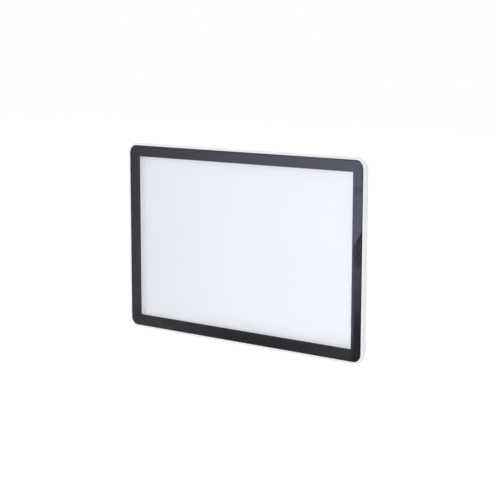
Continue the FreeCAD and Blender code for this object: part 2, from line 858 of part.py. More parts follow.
def vent_plug():
    """Pressure vent screwed into the rear wall, with a six-sided head and air slots under its roof."""
    seat = recess_depth - vent_seal_thickness
    back = seat - vent_head_thickness
    tail = chamber_floor + vent_tail
    head = prism(vent_head_across, Vector(vent_x, -back, vent_z), Vector(0, -1, 0), vent_head_thickness)
    shank = facet_rod(vent_radius - vent_fit, seat, tail, vent_x, vent_z, ring_sides)
    bore = facet_rod(vent_bore_radius, back + vent_roof, tail, vent_x, vent_z)
    slot = slab(2 * vent_head_across, vent_slot_width, 0.0, back + vent_roof, seat - vent_roof / 2)
    cuts = [bore]
    for i in range(vent_slots):
        turned_slot = slot.copy()
        turned_slot.rotate(Vector(0, 0, 0), Vector(0, 1, 0), 180 * i / vent_slots)
        turned_slot.translate(Vector(vent_x, 0, vent_z))
        cuts.append(turned_slot)
    return cut_all(union([head, shank]), cuts)


def vent_seal():
    """Flat rubber ring under the vent's head."""
    depths = (recess_depth - vent_seal_thickness, recess_depth)
    outer = facet_rod(vent_radius + vent_seal_width, *depths, vent_x, vent_z, ring_sides)
    return outer.cut(facet_rod(vent_radius, *depths, vent_x, vent_z, ring_sides))


def vent_membrane():
    """Breathable disc on the vent's inner end."""
    back = chamber_floor + vent_tail
    radius = vent_bore_radius + membrane_margin
    return facet_rod(radius, back, back + membrane_thickness, vent_x, vent_z)


def driver_screw_places():
    """Centres of the driver's two fixing screws, low on its ends and clear of the leads."""
    z = driver_z - (driver_width - driver_ear_width) / 2
    return [(driver_left - driver_ear / 2, z), (driver_right + driver_ear / 2, z)]


def driver_inside(back, front, gap):
    """Block that fills the driver's case between two depths, less a gap all round."""
    inset = 2 * (driver_wall + gap)
    cut = driver_corner - driver_wall - gap
    return plate(driver_length - inset, driver_width - inset, cut, back, front, driver_x, driver_z)


def driver_lead_holes():
    """Passages through the case's end wall for the mains leads and its long walls for the LED leads."""
    mains = mains_lead_radius + port_clearance
    inner_left = driver_left + driver_wall
    found = [facet_bar(mains, driver_left, inner_left, lead_depth, z) for z in input_places()]
    passage = led_lead_radius + port_clearance
    for low in (driver_low, driver_top - driver_wall):
        found.append(facet_post(passage, low, low + driver_wall, led_lead_x, lead_depth))
    return found


def driver_case():
    """Moulded case with a fixing ear at each end and passages for its leads."""
    top = chamber_floor + driver_height - driver_cover
    body = plate(driver_length, driver_width, driver_corner, chamber_floor, top, driver_x, driver_z)
    ear_front = chamber_floor + driver_ear_thickness
    size = (driver_ear + 2 * driver_corner, driver_ear_width, driver_corner)
    hole = screw_radius + screw_clearance
    ears = []
    holes = [driver_inside(chamber_floor + driver_wall, top, 0.0)]
    for x, z in driver_screw_places():
        inward = math.copysign(driver_corner, driver_x - x)
        ears.append(plate(*size, chamber_floor, ear_front, x + inward, z))
        holes.append(facet_rod(hole, chamber_floor, ear_front, x, z))
    body = cut_all(body.fuse(ears), holes + driver_lead_holes())
    return union([body] + driver_ribs())


def driver_ribs():
    """Low ribs on the case's floor that hold its board off it."""
    length = driver_length - 2 * (driver_wall + driver_rib_end_gap)
    depths = (chamber_floor + driver_wall - weld, board_back())
    z = driver_width / 4
    return [slab(length, driver_rib, 0.0, *depths, driver_x, driver_z + side * z) for side in (-1, 1)]


def driver_lid():
    """Flat cover of the driver's case with a rim that locates it inside the walls."""
    back = chamber_floor + driver_height - driver_cover
    front = back + driver_cover
    cover = plate(driver_length, driver_width, driver_corner, back, front, driver_x, driver_z)
    rim = driver_inside(back - driver_wall, back, driver_rim_gap)
    return union([cover, rim.cut(driver_inside(back - driver_wall, back, driver_wall))])


def board_back():
    """Depth of the back of the driver's board."""
    return chamber_floor + driver_wall + driver_board_standoff


def driver_board():
    """Circuit board of the driver."""
    back = board_back()
    return driver_inside(back, back + driver_board_thickness, driver_board_clearance)


def driver_components():
    """Transformer, chokes, capacitors and relays on the driver's board."""
    base = board_back() + driver_board_thickness
    top = chamber_floor + driver_height - driver_cover - driver_wall - driver_part_clearance
    found = [plate(*transformer_size, component_cut, base, top, driver_x + transformer_x, driver_z)]
    for x in choke_places:
        centre = (driver_x + x, driver_z + choke_rise)
        found.append(plate(*choke_size, component_cut, base, base + choke_height, *centre))
    for x in capacitor_places:
        centre = (driver_x + x, driver_z - capacitor_drop)
        found.append(facet_rod(capacitor_radius, base, base + capacitor_height, *centre))
    for x in relay_places:
        centre = (driver_x + x, driver_z - relay_drop)
        found.append(slab(*relay_size, 0.0, base, base + relay_height, *centre))
    return Part.makeCompound(found)


def driver_screws():
    """Screws through the driver's ears into the rear wall."""
    seat = chamber_floor + driver_ear_thickness
    return Part.makeCompound([screw(x, z, seat, driver_screw_length, -1) for x, z in driver_screw_places()])


def peg_places():
    """Centres of the terminal's two locating pegs."""
    offset = terminal_width / 2 - peg_radius - terminal_wall
    return [(terminal_x - offset, terminal_z), (terminal_x + offset, terminal_z)]


def terminal_block():
    """Three-pole terminal body with wire ports at both ends, lever slots and the levers' axle."""
    front = chamber_floor + terminal_height
    size = (terminal_width, terminal_length, terminal_cut)
    body = plate(*size, chamber_floor, front, terminal_x, terminal_z)
    slot_floor = axle_depth - lever_hub_radius - lever_side_gap
    slot_width = lever_width + 2 * lever_side_gap
    z_range = (axle_z - lever_length - lever_side_gap, axle_z + lever_hub_radius + lever_side_gap)
    port = mains_lead_radius + port_clearance
    cuts = []
    for x in pole_places.values():
        cuts.append(block((x - slot_width / 2, x + slot_width / 2), (slot_floor, front), z_range))
        cuts.append(facet_post(port, terminal_low, terminal_low + port_length, x, lead_depth))
        cuts.append(facet_post(port, terminal_high - port_length, terminal_high, x, lead_depth))
        cuts.append(contact(x))
    half = terminal_width / 2 - terminal_wall / 2
    axle = facet_bar(lever_axle_radius, terminal_x - half, terminal_x + half, axle_depth, axle_z)
    peg_depths = (chamber_floor - peg_length, chamber_floor + weld)
    pegs = [facet_rod(peg_radius, *peg_depths, x, z) for x, z in peg_places()]
    return union([cut_all(body, cuts), axle] + pegs)


def contact(x):
    """Brass bar from one port of a pole to the other."""
    depths = (lead_depth - contact_thickness / 2, lead_depth + contact_thickness / 2)
    z_range = (terminal_low + port_length, terminal_high - port_length)
    return block((x - contact_width / 2, x + contact_width / 2), depths, z_range)


def terminal_contacts():
    """Brass bars of the three poles."""
    return Part.makeCompound([contact(x) for x in pole_places.values()])


def lever(pole):
    """Clamping lever: a hub on the axle and an arm flush with the terminal's face when shut."""
    x = pole_places[pole]
    x_range = (x - lever_width / 2, x + lever_width / 2)
    hub = cross_bar(lever_hub_radius, x_range[0], x_range[1], axle_depth, axle_z)
    front = axle_depth + lever_hub_radius
    arm = block(x_range, (front - lever_thickness, front), (axle_z - lever_length, axle_z))
    bore = facet_bar(lever_axle_radius + lever_clearance, x_range[0], x_range[1], axle_depth, axle_z)
    return union([hub, arm]).cut(bore)


def earth_stud():
    """Threaded stud of the box's earth point."""
    depths = (chamber_floor - earth_embed, chamber_floor + earth_height)
    return facet_rod(earth_radius, *depths, earth_x, earth_z)


def barrel_place():
    """Z of the lower end of the earth tag's barrel, clear of its boss."""
    return earth_z + earth_boss_radius + earth_barrel_gap


def earth_tag():
    """Ring tag on the earth stud, with the barrel that is crimped on its lead."""
    back = chamber_floor + earth_boss_height
    front = back + earth_tag_thickness
    low = barrel_place()
    high = low + earth_barrel_length
    radius = mains_lead_radius + earth_barrel_wall
    eye = facet_rod(earth_tag_radius, back, front, earth_x, earth_z)
    neck = block((earth_x - radius, earth_x + radius), (back, front), (earth_z, low + weld))
    barrel = facet_post(radius, low, high, earth_x, lead_depth)
    bore = facet_post(mains_lead_radius, low + earth_barrel_wall, high, earth_x, lead_depth)
    hole = facet_rod(earth_radius + thread_fit, back, front, earth_x, earth_z)
    return cut_all(union([eye, neck, barrel]), [bore, hole])


def earth_nut():
    """Nut that clamps the earth tag."""
    back = chamber_floor + earth_boss_height + earth_tag_thickness
    body = prism(earth_nut_across, Vector(earth_x, -back, earth_z), Vector(0, -1, 0), earth_nut_height)
    return body.cut(facet_rod(earth_radius + thread_fit, back, back + earth_nut_height, earth_x, earth_z))


def lead_rise(index):
    """Z to which a pole's output lead climbs, highest for the pole furthest from the driver."""
    return terminal_high + mains_lead_rise + (2 - index) * mains_lead_pitch


def input_places():
    """Z of the live and neutral leads where they enter the driver."""
    return [lead_rise(0), lead_rise(1)]


def mains_lead(index):
    """Lead from an output of the terminal, round one bend and into the driver's input end."""
    x = list(pole_places.values())[index]
    rise = lead_rise(index)
    points = [
        (x, lead_depth, terminal_high - port_length),
        (x, lead_depth, rise),
        (driver_left + driver_wall, lead_depth, rise),
    ]
    return lead(points, mains_lead_radius)


def earth_lead():
    """Lead from the terminal's earth pole, over and straight down to the tag of the earth stud."""
    x = pole_places["earth"]
    rise = lead_rise(2)
    points = [
        (x, lead_depth, terminal_high - port_length),
        (x, lead_depth, rise),
        (earth_x, lead_depth, rise),
        (earth_x, lead_depth, barrel_place() + earth_barrel_wall),
    ]
    return lead(points, mains_lead_radius)


def led_lead(side):
    """Lead from the driver to one LED board: along the floor, up to the flange and under the tray."""
    start = driver_top - driver_wall if side > 0 else driver_low + driver_wall
    points = [
        (led_lead_x, lead_depth, start),
        (led_lead_x, lead_depth, side * (box_top - led_lead_climb)),
        (led_lead_x, groove_centre, side * (box_top - led_lead_landing)),
        (led_lead_x, groove_centre, side * led_lead_z),
        (led_lead_x, tray_front + led_notch_height, side * led_lead_z),
    ]
    return lead(points, led_lead_radius)


def pieces():
    """Every piece by its name."""
    found = {
        "wall_bracket": wall_bracket(),
        "bracket_bush": bracket_bush(),
        "back_box": back_box(),
        "hinge_pins": hinge_pins(),
        "lock_screw_left": lock_screw(-1),
        "lock_screw_right": lock_screw(1),
        "cable_grommet": cable_grommet(),
        "vent_plug": vent_plug(),
        "vent_seal": vent_seal(),
        "vent_membrane": vent_membrane(),
        "driver_case": driver_case(),
        "driver_cover": driver_lid(),
        "driver_board": driver_board(),
        "driver_components": driver_components(),
        "driver_screws": driver_screws(),
        "terminal_block": terminal_block(),
        "terminal_contacts": terminal_contacts(),
        "earth_stud": earth_stud(),
        "earth_tag": earth_tag(),
        "earth_nut": earth_nut(),
        "live_lead": mains_lead(0),
        "neutral_lead": mains_lead(1),
        "earth_lead": earth_lead(),
        "led_leads": Part.makeCompound([led_lead(-1), led_lead(1)]),
        "heat_tray": heat_tray(),
        "led_strip_top": led_strip(1),
        "led_strip_bottom": led_strip(-1),
        "led_chips_top": led_chips(1),
        "led_chips_bottom": led_chips(-1),
        "reflector_sheet": reflector_sheet(),
        "light_guide": light_guide(),
        "guide_pads": guide_pads(),
        "diffuser_sheet": diffuser_sheet(),
        "front_frame": front_frame(),
        "frame_seal": frame_seal(),
        "frame_screws": frame_screws(),
        "glass_gasket": glass_gasket(),
        "border_print": border_print(),
        "glass_pane": glass_pane(),
    }
    for pole in pole_places:
        found["lever_" + pole] = lever(pole)
    return found


os.makedirs("parts", exist_ok=True)
for name, shape in pieces().items():
    shape.exportStep("parts/" + name + ".step")
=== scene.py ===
"""Looks of a slim outdoor wall light: a glass-fronted, edge-lit panel that hangs on a wall bracket.

The row frame has X to the right, Y into the wall and Z up. Depths, as in the part's own source, are
distances out from the wall, so a depth of d lies at y = -d. Sizes are written in millimetres and
turned to metres where a mesh is made.
"""

import logging
import math
from dataclasses import dataclass, field
from enum import Enum
from typing import Callable, ClassVar, Iterable, Sequence, Union

import bmesh
import bpy
from mathutils import Matrix, Vector


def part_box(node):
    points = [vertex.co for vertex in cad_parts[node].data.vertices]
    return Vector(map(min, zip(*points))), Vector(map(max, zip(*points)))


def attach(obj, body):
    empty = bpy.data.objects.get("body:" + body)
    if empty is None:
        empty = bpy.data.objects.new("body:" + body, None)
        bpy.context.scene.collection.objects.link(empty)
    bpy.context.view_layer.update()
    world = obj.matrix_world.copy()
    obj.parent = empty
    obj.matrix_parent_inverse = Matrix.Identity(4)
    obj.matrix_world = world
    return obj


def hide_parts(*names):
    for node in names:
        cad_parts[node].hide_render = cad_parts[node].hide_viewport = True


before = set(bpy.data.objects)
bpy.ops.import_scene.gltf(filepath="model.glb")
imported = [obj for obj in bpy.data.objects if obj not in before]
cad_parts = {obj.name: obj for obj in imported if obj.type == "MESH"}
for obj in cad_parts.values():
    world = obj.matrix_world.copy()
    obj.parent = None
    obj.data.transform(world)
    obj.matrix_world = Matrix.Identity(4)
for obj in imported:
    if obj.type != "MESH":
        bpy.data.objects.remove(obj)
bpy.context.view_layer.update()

MM = 0.001
LOG = logging.getLogger("wall_light")
WHITE = (1.0, 1.0, 1.0, 1.0)
# metres within which two corners are one, in a CAD mesh and in a made one, and the shortest edge kept
CAD_WELD = 1e-6
WELD = 2e-6
SLIVER = 1e-7
# at a scale of 1, metres from wave to wave of a wave texture, along one axis and on the diagonal
STRAIGHT_WAVE = math.tau / 20
DIAGONAL_WAVE = math.tau / 10

Mesh = bpy.types.Mesh
Node = bpy.types.Node
Socket = bpy.types.NodeSocket
Tree = bpy.types.NodeTree
Colour = tuple[float, float, float, float]
Ramp = tuple[float, float, float, float]
Value = Union[Socket, float, int, bool, str, Sequence[float]]
Inputs = Union[dict[Union[str, int], Value], Sequence[Value]]


def linear(colour: str, alpha: float = 1.0) -> Colour:
    """Turn an sRGB hex colour to linear light.

    Args:
        colour: Six hex digits, such as "F2F3F4".
        alpha: Alpha to add.

    Returns:
        Red, green, blue and alpha for a shader socket.
    """
    parts = []
    for start in (0, 2, 4):
        value = int(colour[start:start + 2], 16) / 255
        parts.append(value / 12.92 if value <= 0.04045 else ((value + 0.055) / 1.055) ** 2.4)
    return parts[0], parts[1], parts[2], alpha


def per_metre(size_mm: float) -> float:
    """Texture scale on Object coordinates at which one cell is about this many millimetres."""
    return 1.0 / (size_mm * MM)


def add_node(tree: Tree, kind: str, settings: dict[str, object] | None = None,
             inputs: Inputs = ()) -> Node:
    """Add a node with its settings, and fill or link its inputs.

    Args:
        tree: Shader or geometry tree that gets the node.
        kind: The node's type name.
        settings: Attributes of the node.
        inputs: A value or another node's output for each input, by name or number, or in order.

    Returns:
        The new node.
    """
    node = tree.nodes.new(kind)
    for name, value in (settings or {}).items():
        setattr(node, name, value)
    for key, value in inputs.items() if isinstance(inputs, dict) else enumerate(inputs):
        socket = node.inputs[key]
        if isinstance(value, Socket):
            tree.links.new(value, socket)
        else:
            socket.default_value = value
    return node


@dataclass
class Surface:
    """What a finish's pattern hands to its shader; None leaves the plain value."""

    colour: Socket | None = None
    roughness: Socket | None = None
    height: Socket | None = None
    height_mm: float = 0.0


@dataclass(frozen=True)
class Finish:
    """A finish: a real material and how its surface was made."""

    name: str
    colour: str
    roughness: float = 0.5
    metallic: float = 0.0
    ior: float = 1.5

    def material(self) -> bpy.types.Material:
        """Return this finish's material, made on first use."""
        found = bpy.data.materials.get(self.name)
        return found or self.build()

    def start(self) -> tuple[bpy.types.Material, Socket]:
        """Start an empty material.

        Returns:
            The material, and Object coordinates in its tree.
        """
        made = bpy.data.materials.new(self.name)
        made.use_nodes = True
        made.diffuse_color = linear(self.colour)
        made.node_tree.nodes.clear()
        return made, add_node(made.node_tree, "ShaderNodeTexCoord").outputs["Object"]

    def build(self) -> bpy.types.Material:
        """Make the material: a principled shader fed by the finish's own pattern.

        Returns:
            The new material.
        """
        made, place = self.start()
        tree = made.node_tree
        surface = self.pattern(tree, place)
        inputs: dict[Union[str, int], Value] = {
            "Base Color": surface.colour or linear(self.colour),
            "Roughness": surface.roughness or self.roughness,
            "Metallic": self.metallic,
        }
        if self.metallic < 0.5:
            inputs["IOR"] = self.ior
        if surface.height is not None:
            bump = add_node(tree, "ShaderNodeBump", None, {
                "Height": surface.height, "Distance": surface.height_mm * MM, "Strength": 1.0})
            inputs["Normal"] = bump.outputs["Normal"]
        shader = add_node(tree, "ShaderNodeBsdfPrincipled", None, inputs)
        self.adjust(shader)
        add_node(tree, "ShaderNodeOutputMaterial", None, {"Surface": self.wrap(tree, shader)})
        return made

    def pattern(self, tree: Tree, place: Socket) -> Surface:
        """Draw the finish's detail from Object coordinates; a plain finish adds none."""
        return Surface()

    def adjust(self, shader: Node) -> None:
        """Set constant sockets that only this finish needs."""

    def wrap(self, tree: Tree, shader: Node) -> Socket:
        """Return the surface output, which a see-through finish changes."""
        return shader.outputs["BSDF"]

    def gloss(self, tree: Tree, factor: Socket, low: float, high: float) -> Socket:
        """Return the finish's roughness with low added where a pattern is 0, and high where it is 1."""
        levels = (factor, 0.0, 1.0, self.roughness + low, self.roughness + high)
        return add_node(tree, "ShaderNodeMapRange", None, levels).outputs["Result"]


def shade(tree: Tree, factor: Socket, dark: str, light: str, low: float = 0.0,
          high: float = 1.0) -> Socket:
    """Blend two sRGB colours by a pattern.

    Args:
        tree: Shader tree.
        factor: Pattern value.
        dark: Colour at the low end.
        light: Colour at the high end.
        low: Pattern value that gives the dark colour.
        high: Pattern value that gives the light colour.

    Returns:
        The blended colour.
    """
    spread = add_node(tree, "ShaderNodeMapRange", None, (factor, low, high))
    mixed = add_node(tree, "ShaderNodeMix", {"data_type": "RGBA"}, {
        "Factor": spread.outputs["Result"], 6: linear(dark), 7: linear(light)})
    return mixed.outputs[2]


def looked_at(tree: Tree) -> Socket:
    """Tell the rays by which a thing is seen from those by which it lights other things.

    Args:
        tree: Tree of a material or of the world.

    Returns:
        1 to the camera, to glosses and through glass, and 0 to light that falls on things.
    """
    path = add_node(tree, "ShaderNodeLightPath").outputs
    seen = path["Is Camera Ray"]
    for kind in ("Is Glossy Ray", "Is Transmission Ray"):
        seen = add_node(tree, "ShaderNodeMath", {"operation": "MAXIMUM"}, (seen, path[kind])).outputs[0]
    return seen


def grain(tree: Tree, place: Socket, size_mm: float, detail: float = 2.0,
          stretch: Sequence[float] = (1.0, 1.0, 1.0)) -> Socket:
    """Grain of a real size, optionally drawn out along an axis.

    Args:
        tree: Shader tree.
        place: Object coordinates.
        size_mm: Size of one grain.
        detail: Octaves of finer grain.
        stretch: Factor on the grain's size along X, Y and Z.

    Returns:
        The pattern value, 0 to 1.
    """
    drawn_out = add_node(tree, "ShaderNodeMapping", {"vector_type": "POINT"}, {
        "Vector": place, "Scale": tuple(1.0 / factor for factor in stretch)})
    texture = add_node(tree, "ShaderNodeTexNoise", {"noise_dimensions": "3D"}, {
        "Vector": drawn_out.outputs["Vector"], "Scale": per_metre(size_mm), "Detail": detail})
    return texture.outputs["Fac"]


@dataclass(frozen=True)
class PowderCoat(Finish):
    """Polyester powder baked on metal: a satin film with a fine orange peel."""

    peel_mm: float = 1.6
    peel_depth_mm: float = 0.05
    patch_mm: float = 45.0
    shaded: str = "E9EAEB"

    def pattern(self, tree: Tree, place: Socket) -> Surface:
        """Draw the orange peel of the baked film, and a slight change of tone from place to place.

        Args:
            tree: Shader tree.
            place: Object coordinates.

        Returns:
            Its colour, roughness and relief.
        """
        peel = grain(tree, place, self.peel_mm, 3.0)
        patches = grain(tree, place, self.patch_mm, 2.0)
        return Surface(
            colour=shade(tree, patches, self.shaded, self.colour, 0.3, 0.55),
            roughness=self.gloss(tree, peel, -0.05, 0.05),
            height=peel, height_mm=self.peel_depth_mm)


@dataclass(frozen=True)
class GalvanisedSteel(Finish):
    """Hot-dip galvanised sheet: zinc crystals that each turn the light another way."""

    spangle_mm: float = 5.5
    ragged_mm: float = 9.0
    ragged_share: float = 0.004
    # the lines in a crystal are about 0.1 mm apart, too fine to show, so they are drawn coarser
    fern_mm: float = 0.55
    fern_depth_mm: float = 0.01
    dull: str = "A2A8AC"

    def pattern(self, tree: Tree, place: Socket) -> Surface:
        """Draw spangle in cells of a few millimetres, each with the feathery lines of its crystal.

        Args:
            tree: Shader tree.
            place: Object coordinates.

        Returns:
            Its colour, roughness and relief.
        """
        drift = add_node(tree, "ShaderNodeTexNoise", None, {
            "Vector": place, "Scale": per_metre(self.ragged_mm)})
        warped = add_node(tree, "ShaderNodeMix", {"data_type": "VECTOR"}, {
            "Factor": self.ragged_share, 4: place, 5: drift.outputs["Color"]})
        cells = add_node(tree, "ShaderNodeTexVoronoi", {"feature": "F1"}, {
            "Vector": warped.outputs[1], "Scale": per_metre(self.spangle_mm)})
        tone = add_node(tree, "ShaderNodeSeparateColor", None, {"Color": cells.outputs["Color"]}).outputs
        angle = add_node(tree, "ShaderNodeMath", {"operation": "MULTIPLY"}, (tone["Green"], math.tau))
        turned = add_node(tree, "ShaderNodeVectorRotate", {"rotation_type": "Y_AXIS"}, {
            "Vector": warped.outputs[1], "Angle": angle.outputs[0]})
        fern = grain(tree, turned.outputs["Vector"], self.fern_mm, 3.0, (9.0, 1.0, 1.0))
        faint = add_node(tree, "ShaderNodeMath", {"operation": "MULTIPLY"}, (fern, 0.5))
        light = add_node(tree, "ShaderNodeMath", {"operation": "MULTIPLY_ADD"}, (
            tone["Red"], 0.55, faint.outputs[0]))
        return Surface(
            colour=shade(tree, light.outputs[0], self.dull, self.colour, 0.05, 0.95),
            roughness=self.gloss(tree, tone["Blue"], -0.1, 0.12),
            height=fern, height_mm=self.fern_depth_mm)


@dataclass(frozen=True)
class TurnedMetal(Finish):
    """Metal bar turned or pressed to shape: fine lines, and a little grime between them."""

    # a tool leaves a line every 0.1 mm or less, too fine to show, so they are drawn coarser
    line_mm: float = 0.35
    line_depth_mm: float = 0.01
    patch_mm: float = 4.0
    dull: str = "8E9093"
    along: tuple[float, float, float] = (1.0, 14.0, 1.0)

    def pattern(self, tree: Tree, place: Socket) -> Surface:
        """Draw tool lines along one axis, and dull patches.

        Args:
            tree: Shader tree.
            place: Object coordinates.

        Returns:
            Its colour, roughness and relief.
        """
        lines = grain(tree, place, self.line_mm, 2.0, self.along)
        patches = grain(tree, place, self.patch_mm, 3.0)
        return Surface(
            colour=shade(tree, patches, self.dull, self.colour, 0.3, 0.6),
            roughness=self.gloss(tree, lines, -0.06, 0.1),
            height=lines, height_mm=self.line_depth_mm)


@dataclass(frozen=True)
class MouldedSurface(Finish):
    """Moulded plastic or rubber from a spark-eroded tool: an even fine grain, dulled in patches."""

    # spark erosion leaves pits of some 0.05 to 0.1 mm, too fine to show, so they are drawn coarser
    grain_mm: float = 0.4
    grain_depth_mm: float = 0.02
    bloom_mm: float = 11.0
    worn: str = "2A2B2D"

    def pattern(self, tree: Tree, place: Socket) -> Surface:
        """Draw the tool's grain as relief, and a paler bloom where the surface was handled.

        Args:
            tree: Shader tree.
            place: Object coordinates.

        Returns:
            Its colour, roughness and relief.
        """
        relief = grain(tree, place, self.grain_mm, 2.0)
        bloom = grain(tree, place, self.bloom_mm, 4.0)
        return Surface(
            colour=shade(tree, bloom, self.colour, self.worn, 0.4, 0.75),
            roughness=self.gloss(tree, bloom, -0.05, 0.06),
            height=relief, height_mm=self.grain_depth_mm)


@dataclass(frozen=True)
class ClearSheet(Finish):
    """Clear sheet that lets lamps and bounced light reach what lies behind it."""

    tint: str = "FDFEFE"
    clearness: float = 1.0

    def adjust(self, shader: Node) -> None:
        """Let the shader pass light through."""
        shader.inputs["Transmission Weight"].default_value = self.clearness

    def wrap(self, tree: Tree, shader: Node) -> Socket:
        """Pass shadow and diffuse rays straight on, so that nothing behind is left dark.

        Args:
            tree: Shader tree.
            shader: The sheet's principled shader.

        Returns:
            The surface output.
        """
        path = add_node(tree, "ShaderNodeLightPath").outputs
        passing = add_node(tree, "ShaderNodeMath", {"operation": "MAXIMUM"}, (
            path["Is Shadow Ray"], path["Is Diffuse Ray"]))
        clear = add_node(tree, "ShaderNodeBsdfTransparent", None, {"Color": linear(self.tint)})
        mixed = add_node(tree, "ShaderNodeMixShader", None, (
            passing.outputs[0], shader.outputs["BSDF"], clear.outputs["BSDF"]))
        return mixed.outputs["Shader"]


@dataclass(frozen=True)
class ToughenedGlass(ClearSheet):
    """Float glass, toughened: clear, with the faint long wave that the oven leaves."""

    wave_mm: float = 591.9
    wave_depth_mm: float = 0.004

    def pattern(self, tree: Tree, place: Socket) -> Surface:
        """Draw the wave, a relief of microns.

        Args:
            tree: Shader tree.
            place: Object coordinates.

        Returns:
            Its relief.
        """
        wave = add_node(tree, "ShaderNodeTexWave", {"bands_direction": "X", "wave_profile": "SIN"}, {
            "Vector": place, "Scale": STRAIGHT_WAVE * per_metre(self.wave_mm), "Distortion": 0.4,
            "Detail": 1.0})
        return Surface(height=wave.outputs["Fac"], height_mm=self.wave_depth_mm)


@dataclass(frozen=True)
class FiredCeramic(Finish):
    """Screen-printed black enamel fired onto the glass: even, with the screen's fine dots."""

    # a screen's dots are about 0.1 mm wide, too fine to show, so they are drawn coarser
    dot_mm: float = 0.5
    patch_mm: float = 30.0
    thin: str = "0E0F12"

    def pattern(self, tree: Tree, place: Socket) -> Surface:
        """Draw the screen's dots, and the print's density, which changes a trace from place to place.

        Args:
            tree: Shader tree.
            place: Object coordinates.

        Returns:
            Its colour and roughness.
        """
        dots = grain(tree, place, self.dot_mm, 1.0)
        cover = grain(tree, place, self.patch_mm, 3.0)
        return Surface(
            colour=shade(tree, cover, self.colour, self.thin, 0.35, 0.7),
            roughness=self.gloss(tree, dots, -0.08, 0.08))


@dataclass(frozen=True)
class OpalSheet(Finish):
    """Opal sheet: a soft, even white with a satin skin; where its open part is given, a band of painted
    light along the frame's ledge stands in for light that creeps sideways inside it.
    """

    shaded: str = "EFF4FB"
    # painted light: colour of the band along the ledge, and its width at the sides and, wider, along the
    # bottom
    pale: str = "FBFCFF"
    painted_light_mm: float = 5.9
    low_painted_light_mm: float = 12.0
    open_mm: tuple[float, float] | None = None
    cloud_mm: float = 60.0
    # the etched pits are about 0.05 mm wide, too fine to show, so they are drawn coarser
    skin_mm: float = 0.3
    skin_depth_mm: float = 0.006

    def pattern(self, tree: Tree, place: Socket) -> Surface:
        """Draw the cloudiness of the cast sheet and its etched skin, and painted light along the frame's
        ledge.

        Args:
            tree: Shader tree.
            place: Object coordinates.

        Returns:
            Its colour, roughness and relief.
        """
        cloud = grain(tree, place, self.cloud_mm, 2.0)
        skin = grain(tree, place, self.skin_mm, 1.0)
        colour = shade(tree, cloud, self.shaded, self.colour, 0.3, 0.6)
        return Surface(
            # painted light along the ledge lifts the shade that the border casts on the open sheet
            colour=self.painted_edge_light(tree, place, colour, *self.open_mm) if self.open_mm else colour,
            roughness=self.gloss(tree, skin, -0.04, 0.04),
            height=skin, height_mm=self.skin_depth_mm)

    def painted_edge_light(self, tree: Tree, place: Socket, colour: Socket, wide: float, high: float) -> Socket:
        """Painted light: a pale band along the frame's ledge, standing in for light that creeps through the
        sheet, which also lifts the border's shade there.

        Args:
            tree: Shader tree.
            place: Object coordinates.
            colour: Colour of the open sheet.
            wide: Half of the width that the ledge leaves open, in millimetres.
            high: Half of the height that it leaves open.

        Returns:
            The colour with its band of painted light, which is wider below.
        """
        axes = add_node(tree, "ShaderNodeSeparateXYZ", None, {"Vector": place}).outputs
        sides = []
        # painted light near the left, right, top and bottom edges of the open part
        for axis, half in (("X", wide), ("Z", high)):
            outward = add_node(tree, "ShaderNodeMath", {"operation": "ABSOLUTE"}, (axes[axis],))
            reach = (outward.outputs[0], (half - self.painted_light_mm) * MM, half * MM)
            sides.append(add_node(tree, "ShaderNodeMapRange", None, reach).outputs[0])
        nearest = add_node(tree, "ShaderNodeMath", {"operation": "MAXIMUM"}, sides)
        around = add_node(tree, "ShaderNodeMath", {"operation": "POWER"}, (nearest.outputs[0], 2.0))
        # a wider band of painted light along the bottom edge, where the border's shade is deeper
        reach = (axes["Z"], (self.low_painted_light_mm - high) * MM, -high * MM)
        below = add_node(tree, "ShaderNodeMapRange", None, reach)
        band = add_node(tree, "ShaderNodeMath", {"operation": "MAXIMUM"}, (
            around.outputs[0], below.outputs[0]))
        mixed = add_node(tree, "ShaderNodeMix", {"data_type": "RGBA"}, {
            "Factor": band.outputs[0], 6: colour, 7: linear(self.pale)})
        return mixed.outputs[2]


@dataclass(frozen=True)
class EtchedAcrylic(ClearSheet):
    """Clear cast acrylic with a matrix of etched dots that turn its light forwards."""

    dot_pitch_mm: float = 2.4
    frosted: float = 0.6

    def pattern(self, tree: Tree, place: Socket) -> Surface:
        """Draw rows of round dots, frosted against the polished sheet.

        Args:
            tree: Shader tree.
            place: Object coordinates.

        Returns:
            Its colour and roughness.
        """
        cells = add_node(tree, "ShaderNodeTexVoronoi", {"feature": "F1"}, {
            "Vector": place, "Scale": per_metre(self.dot_pitch_mm), "Randomness": 0.0})
        distance = (cells.outputs["Distance"], 0.22, 0.28, 1.0, 0.0)
        dots = add_node(tree, "ShaderNodeMapRange", None, distance).outputs["Result"]
        return Surface(
            colour=shade(tree, dots, self.colour, "FFFFFF"),
            roughness=self.gloss(tree, dots, 0.0, self.frosted - self.roughness))


@dataclass(frozen=True)
class RolledSheet(Finish):
    """Rolled aluminium sheet: long fine lines and a mill sheen."""

    dull: str = "B4B7BA"
    # the rolls leave lines of about 0.1 mm, too fine to show, so they are drawn coarser
    line_mm: float = 0.4
    line_depth_mm: float = 0.01
    patch_mm: float = 25.0

    def pattern(self, tree: Tree, place: Socket) -> Surface:
        """Draw rolling lines along X and cloudy patches of oxide.

        Args:
            tree: Shader tree.
            place: Object coordinates.

        Returns:
            Its colour, roughness and relief.
        """
        lines = grain(tree, place, self.line_mm, 3.0, (60.0, 1.0, 1.0))
        oxide = grain(tree, place, self.patch_mm, 3.0)
        return Surface(
            colour=shade(tree, oxide, self.dull, self.colour, 0.3, 0.65),
            roughness=self.gloss(tree, lines, -0.08, 0.08),
            height=lines, height_mm=self.line_depth_mm)


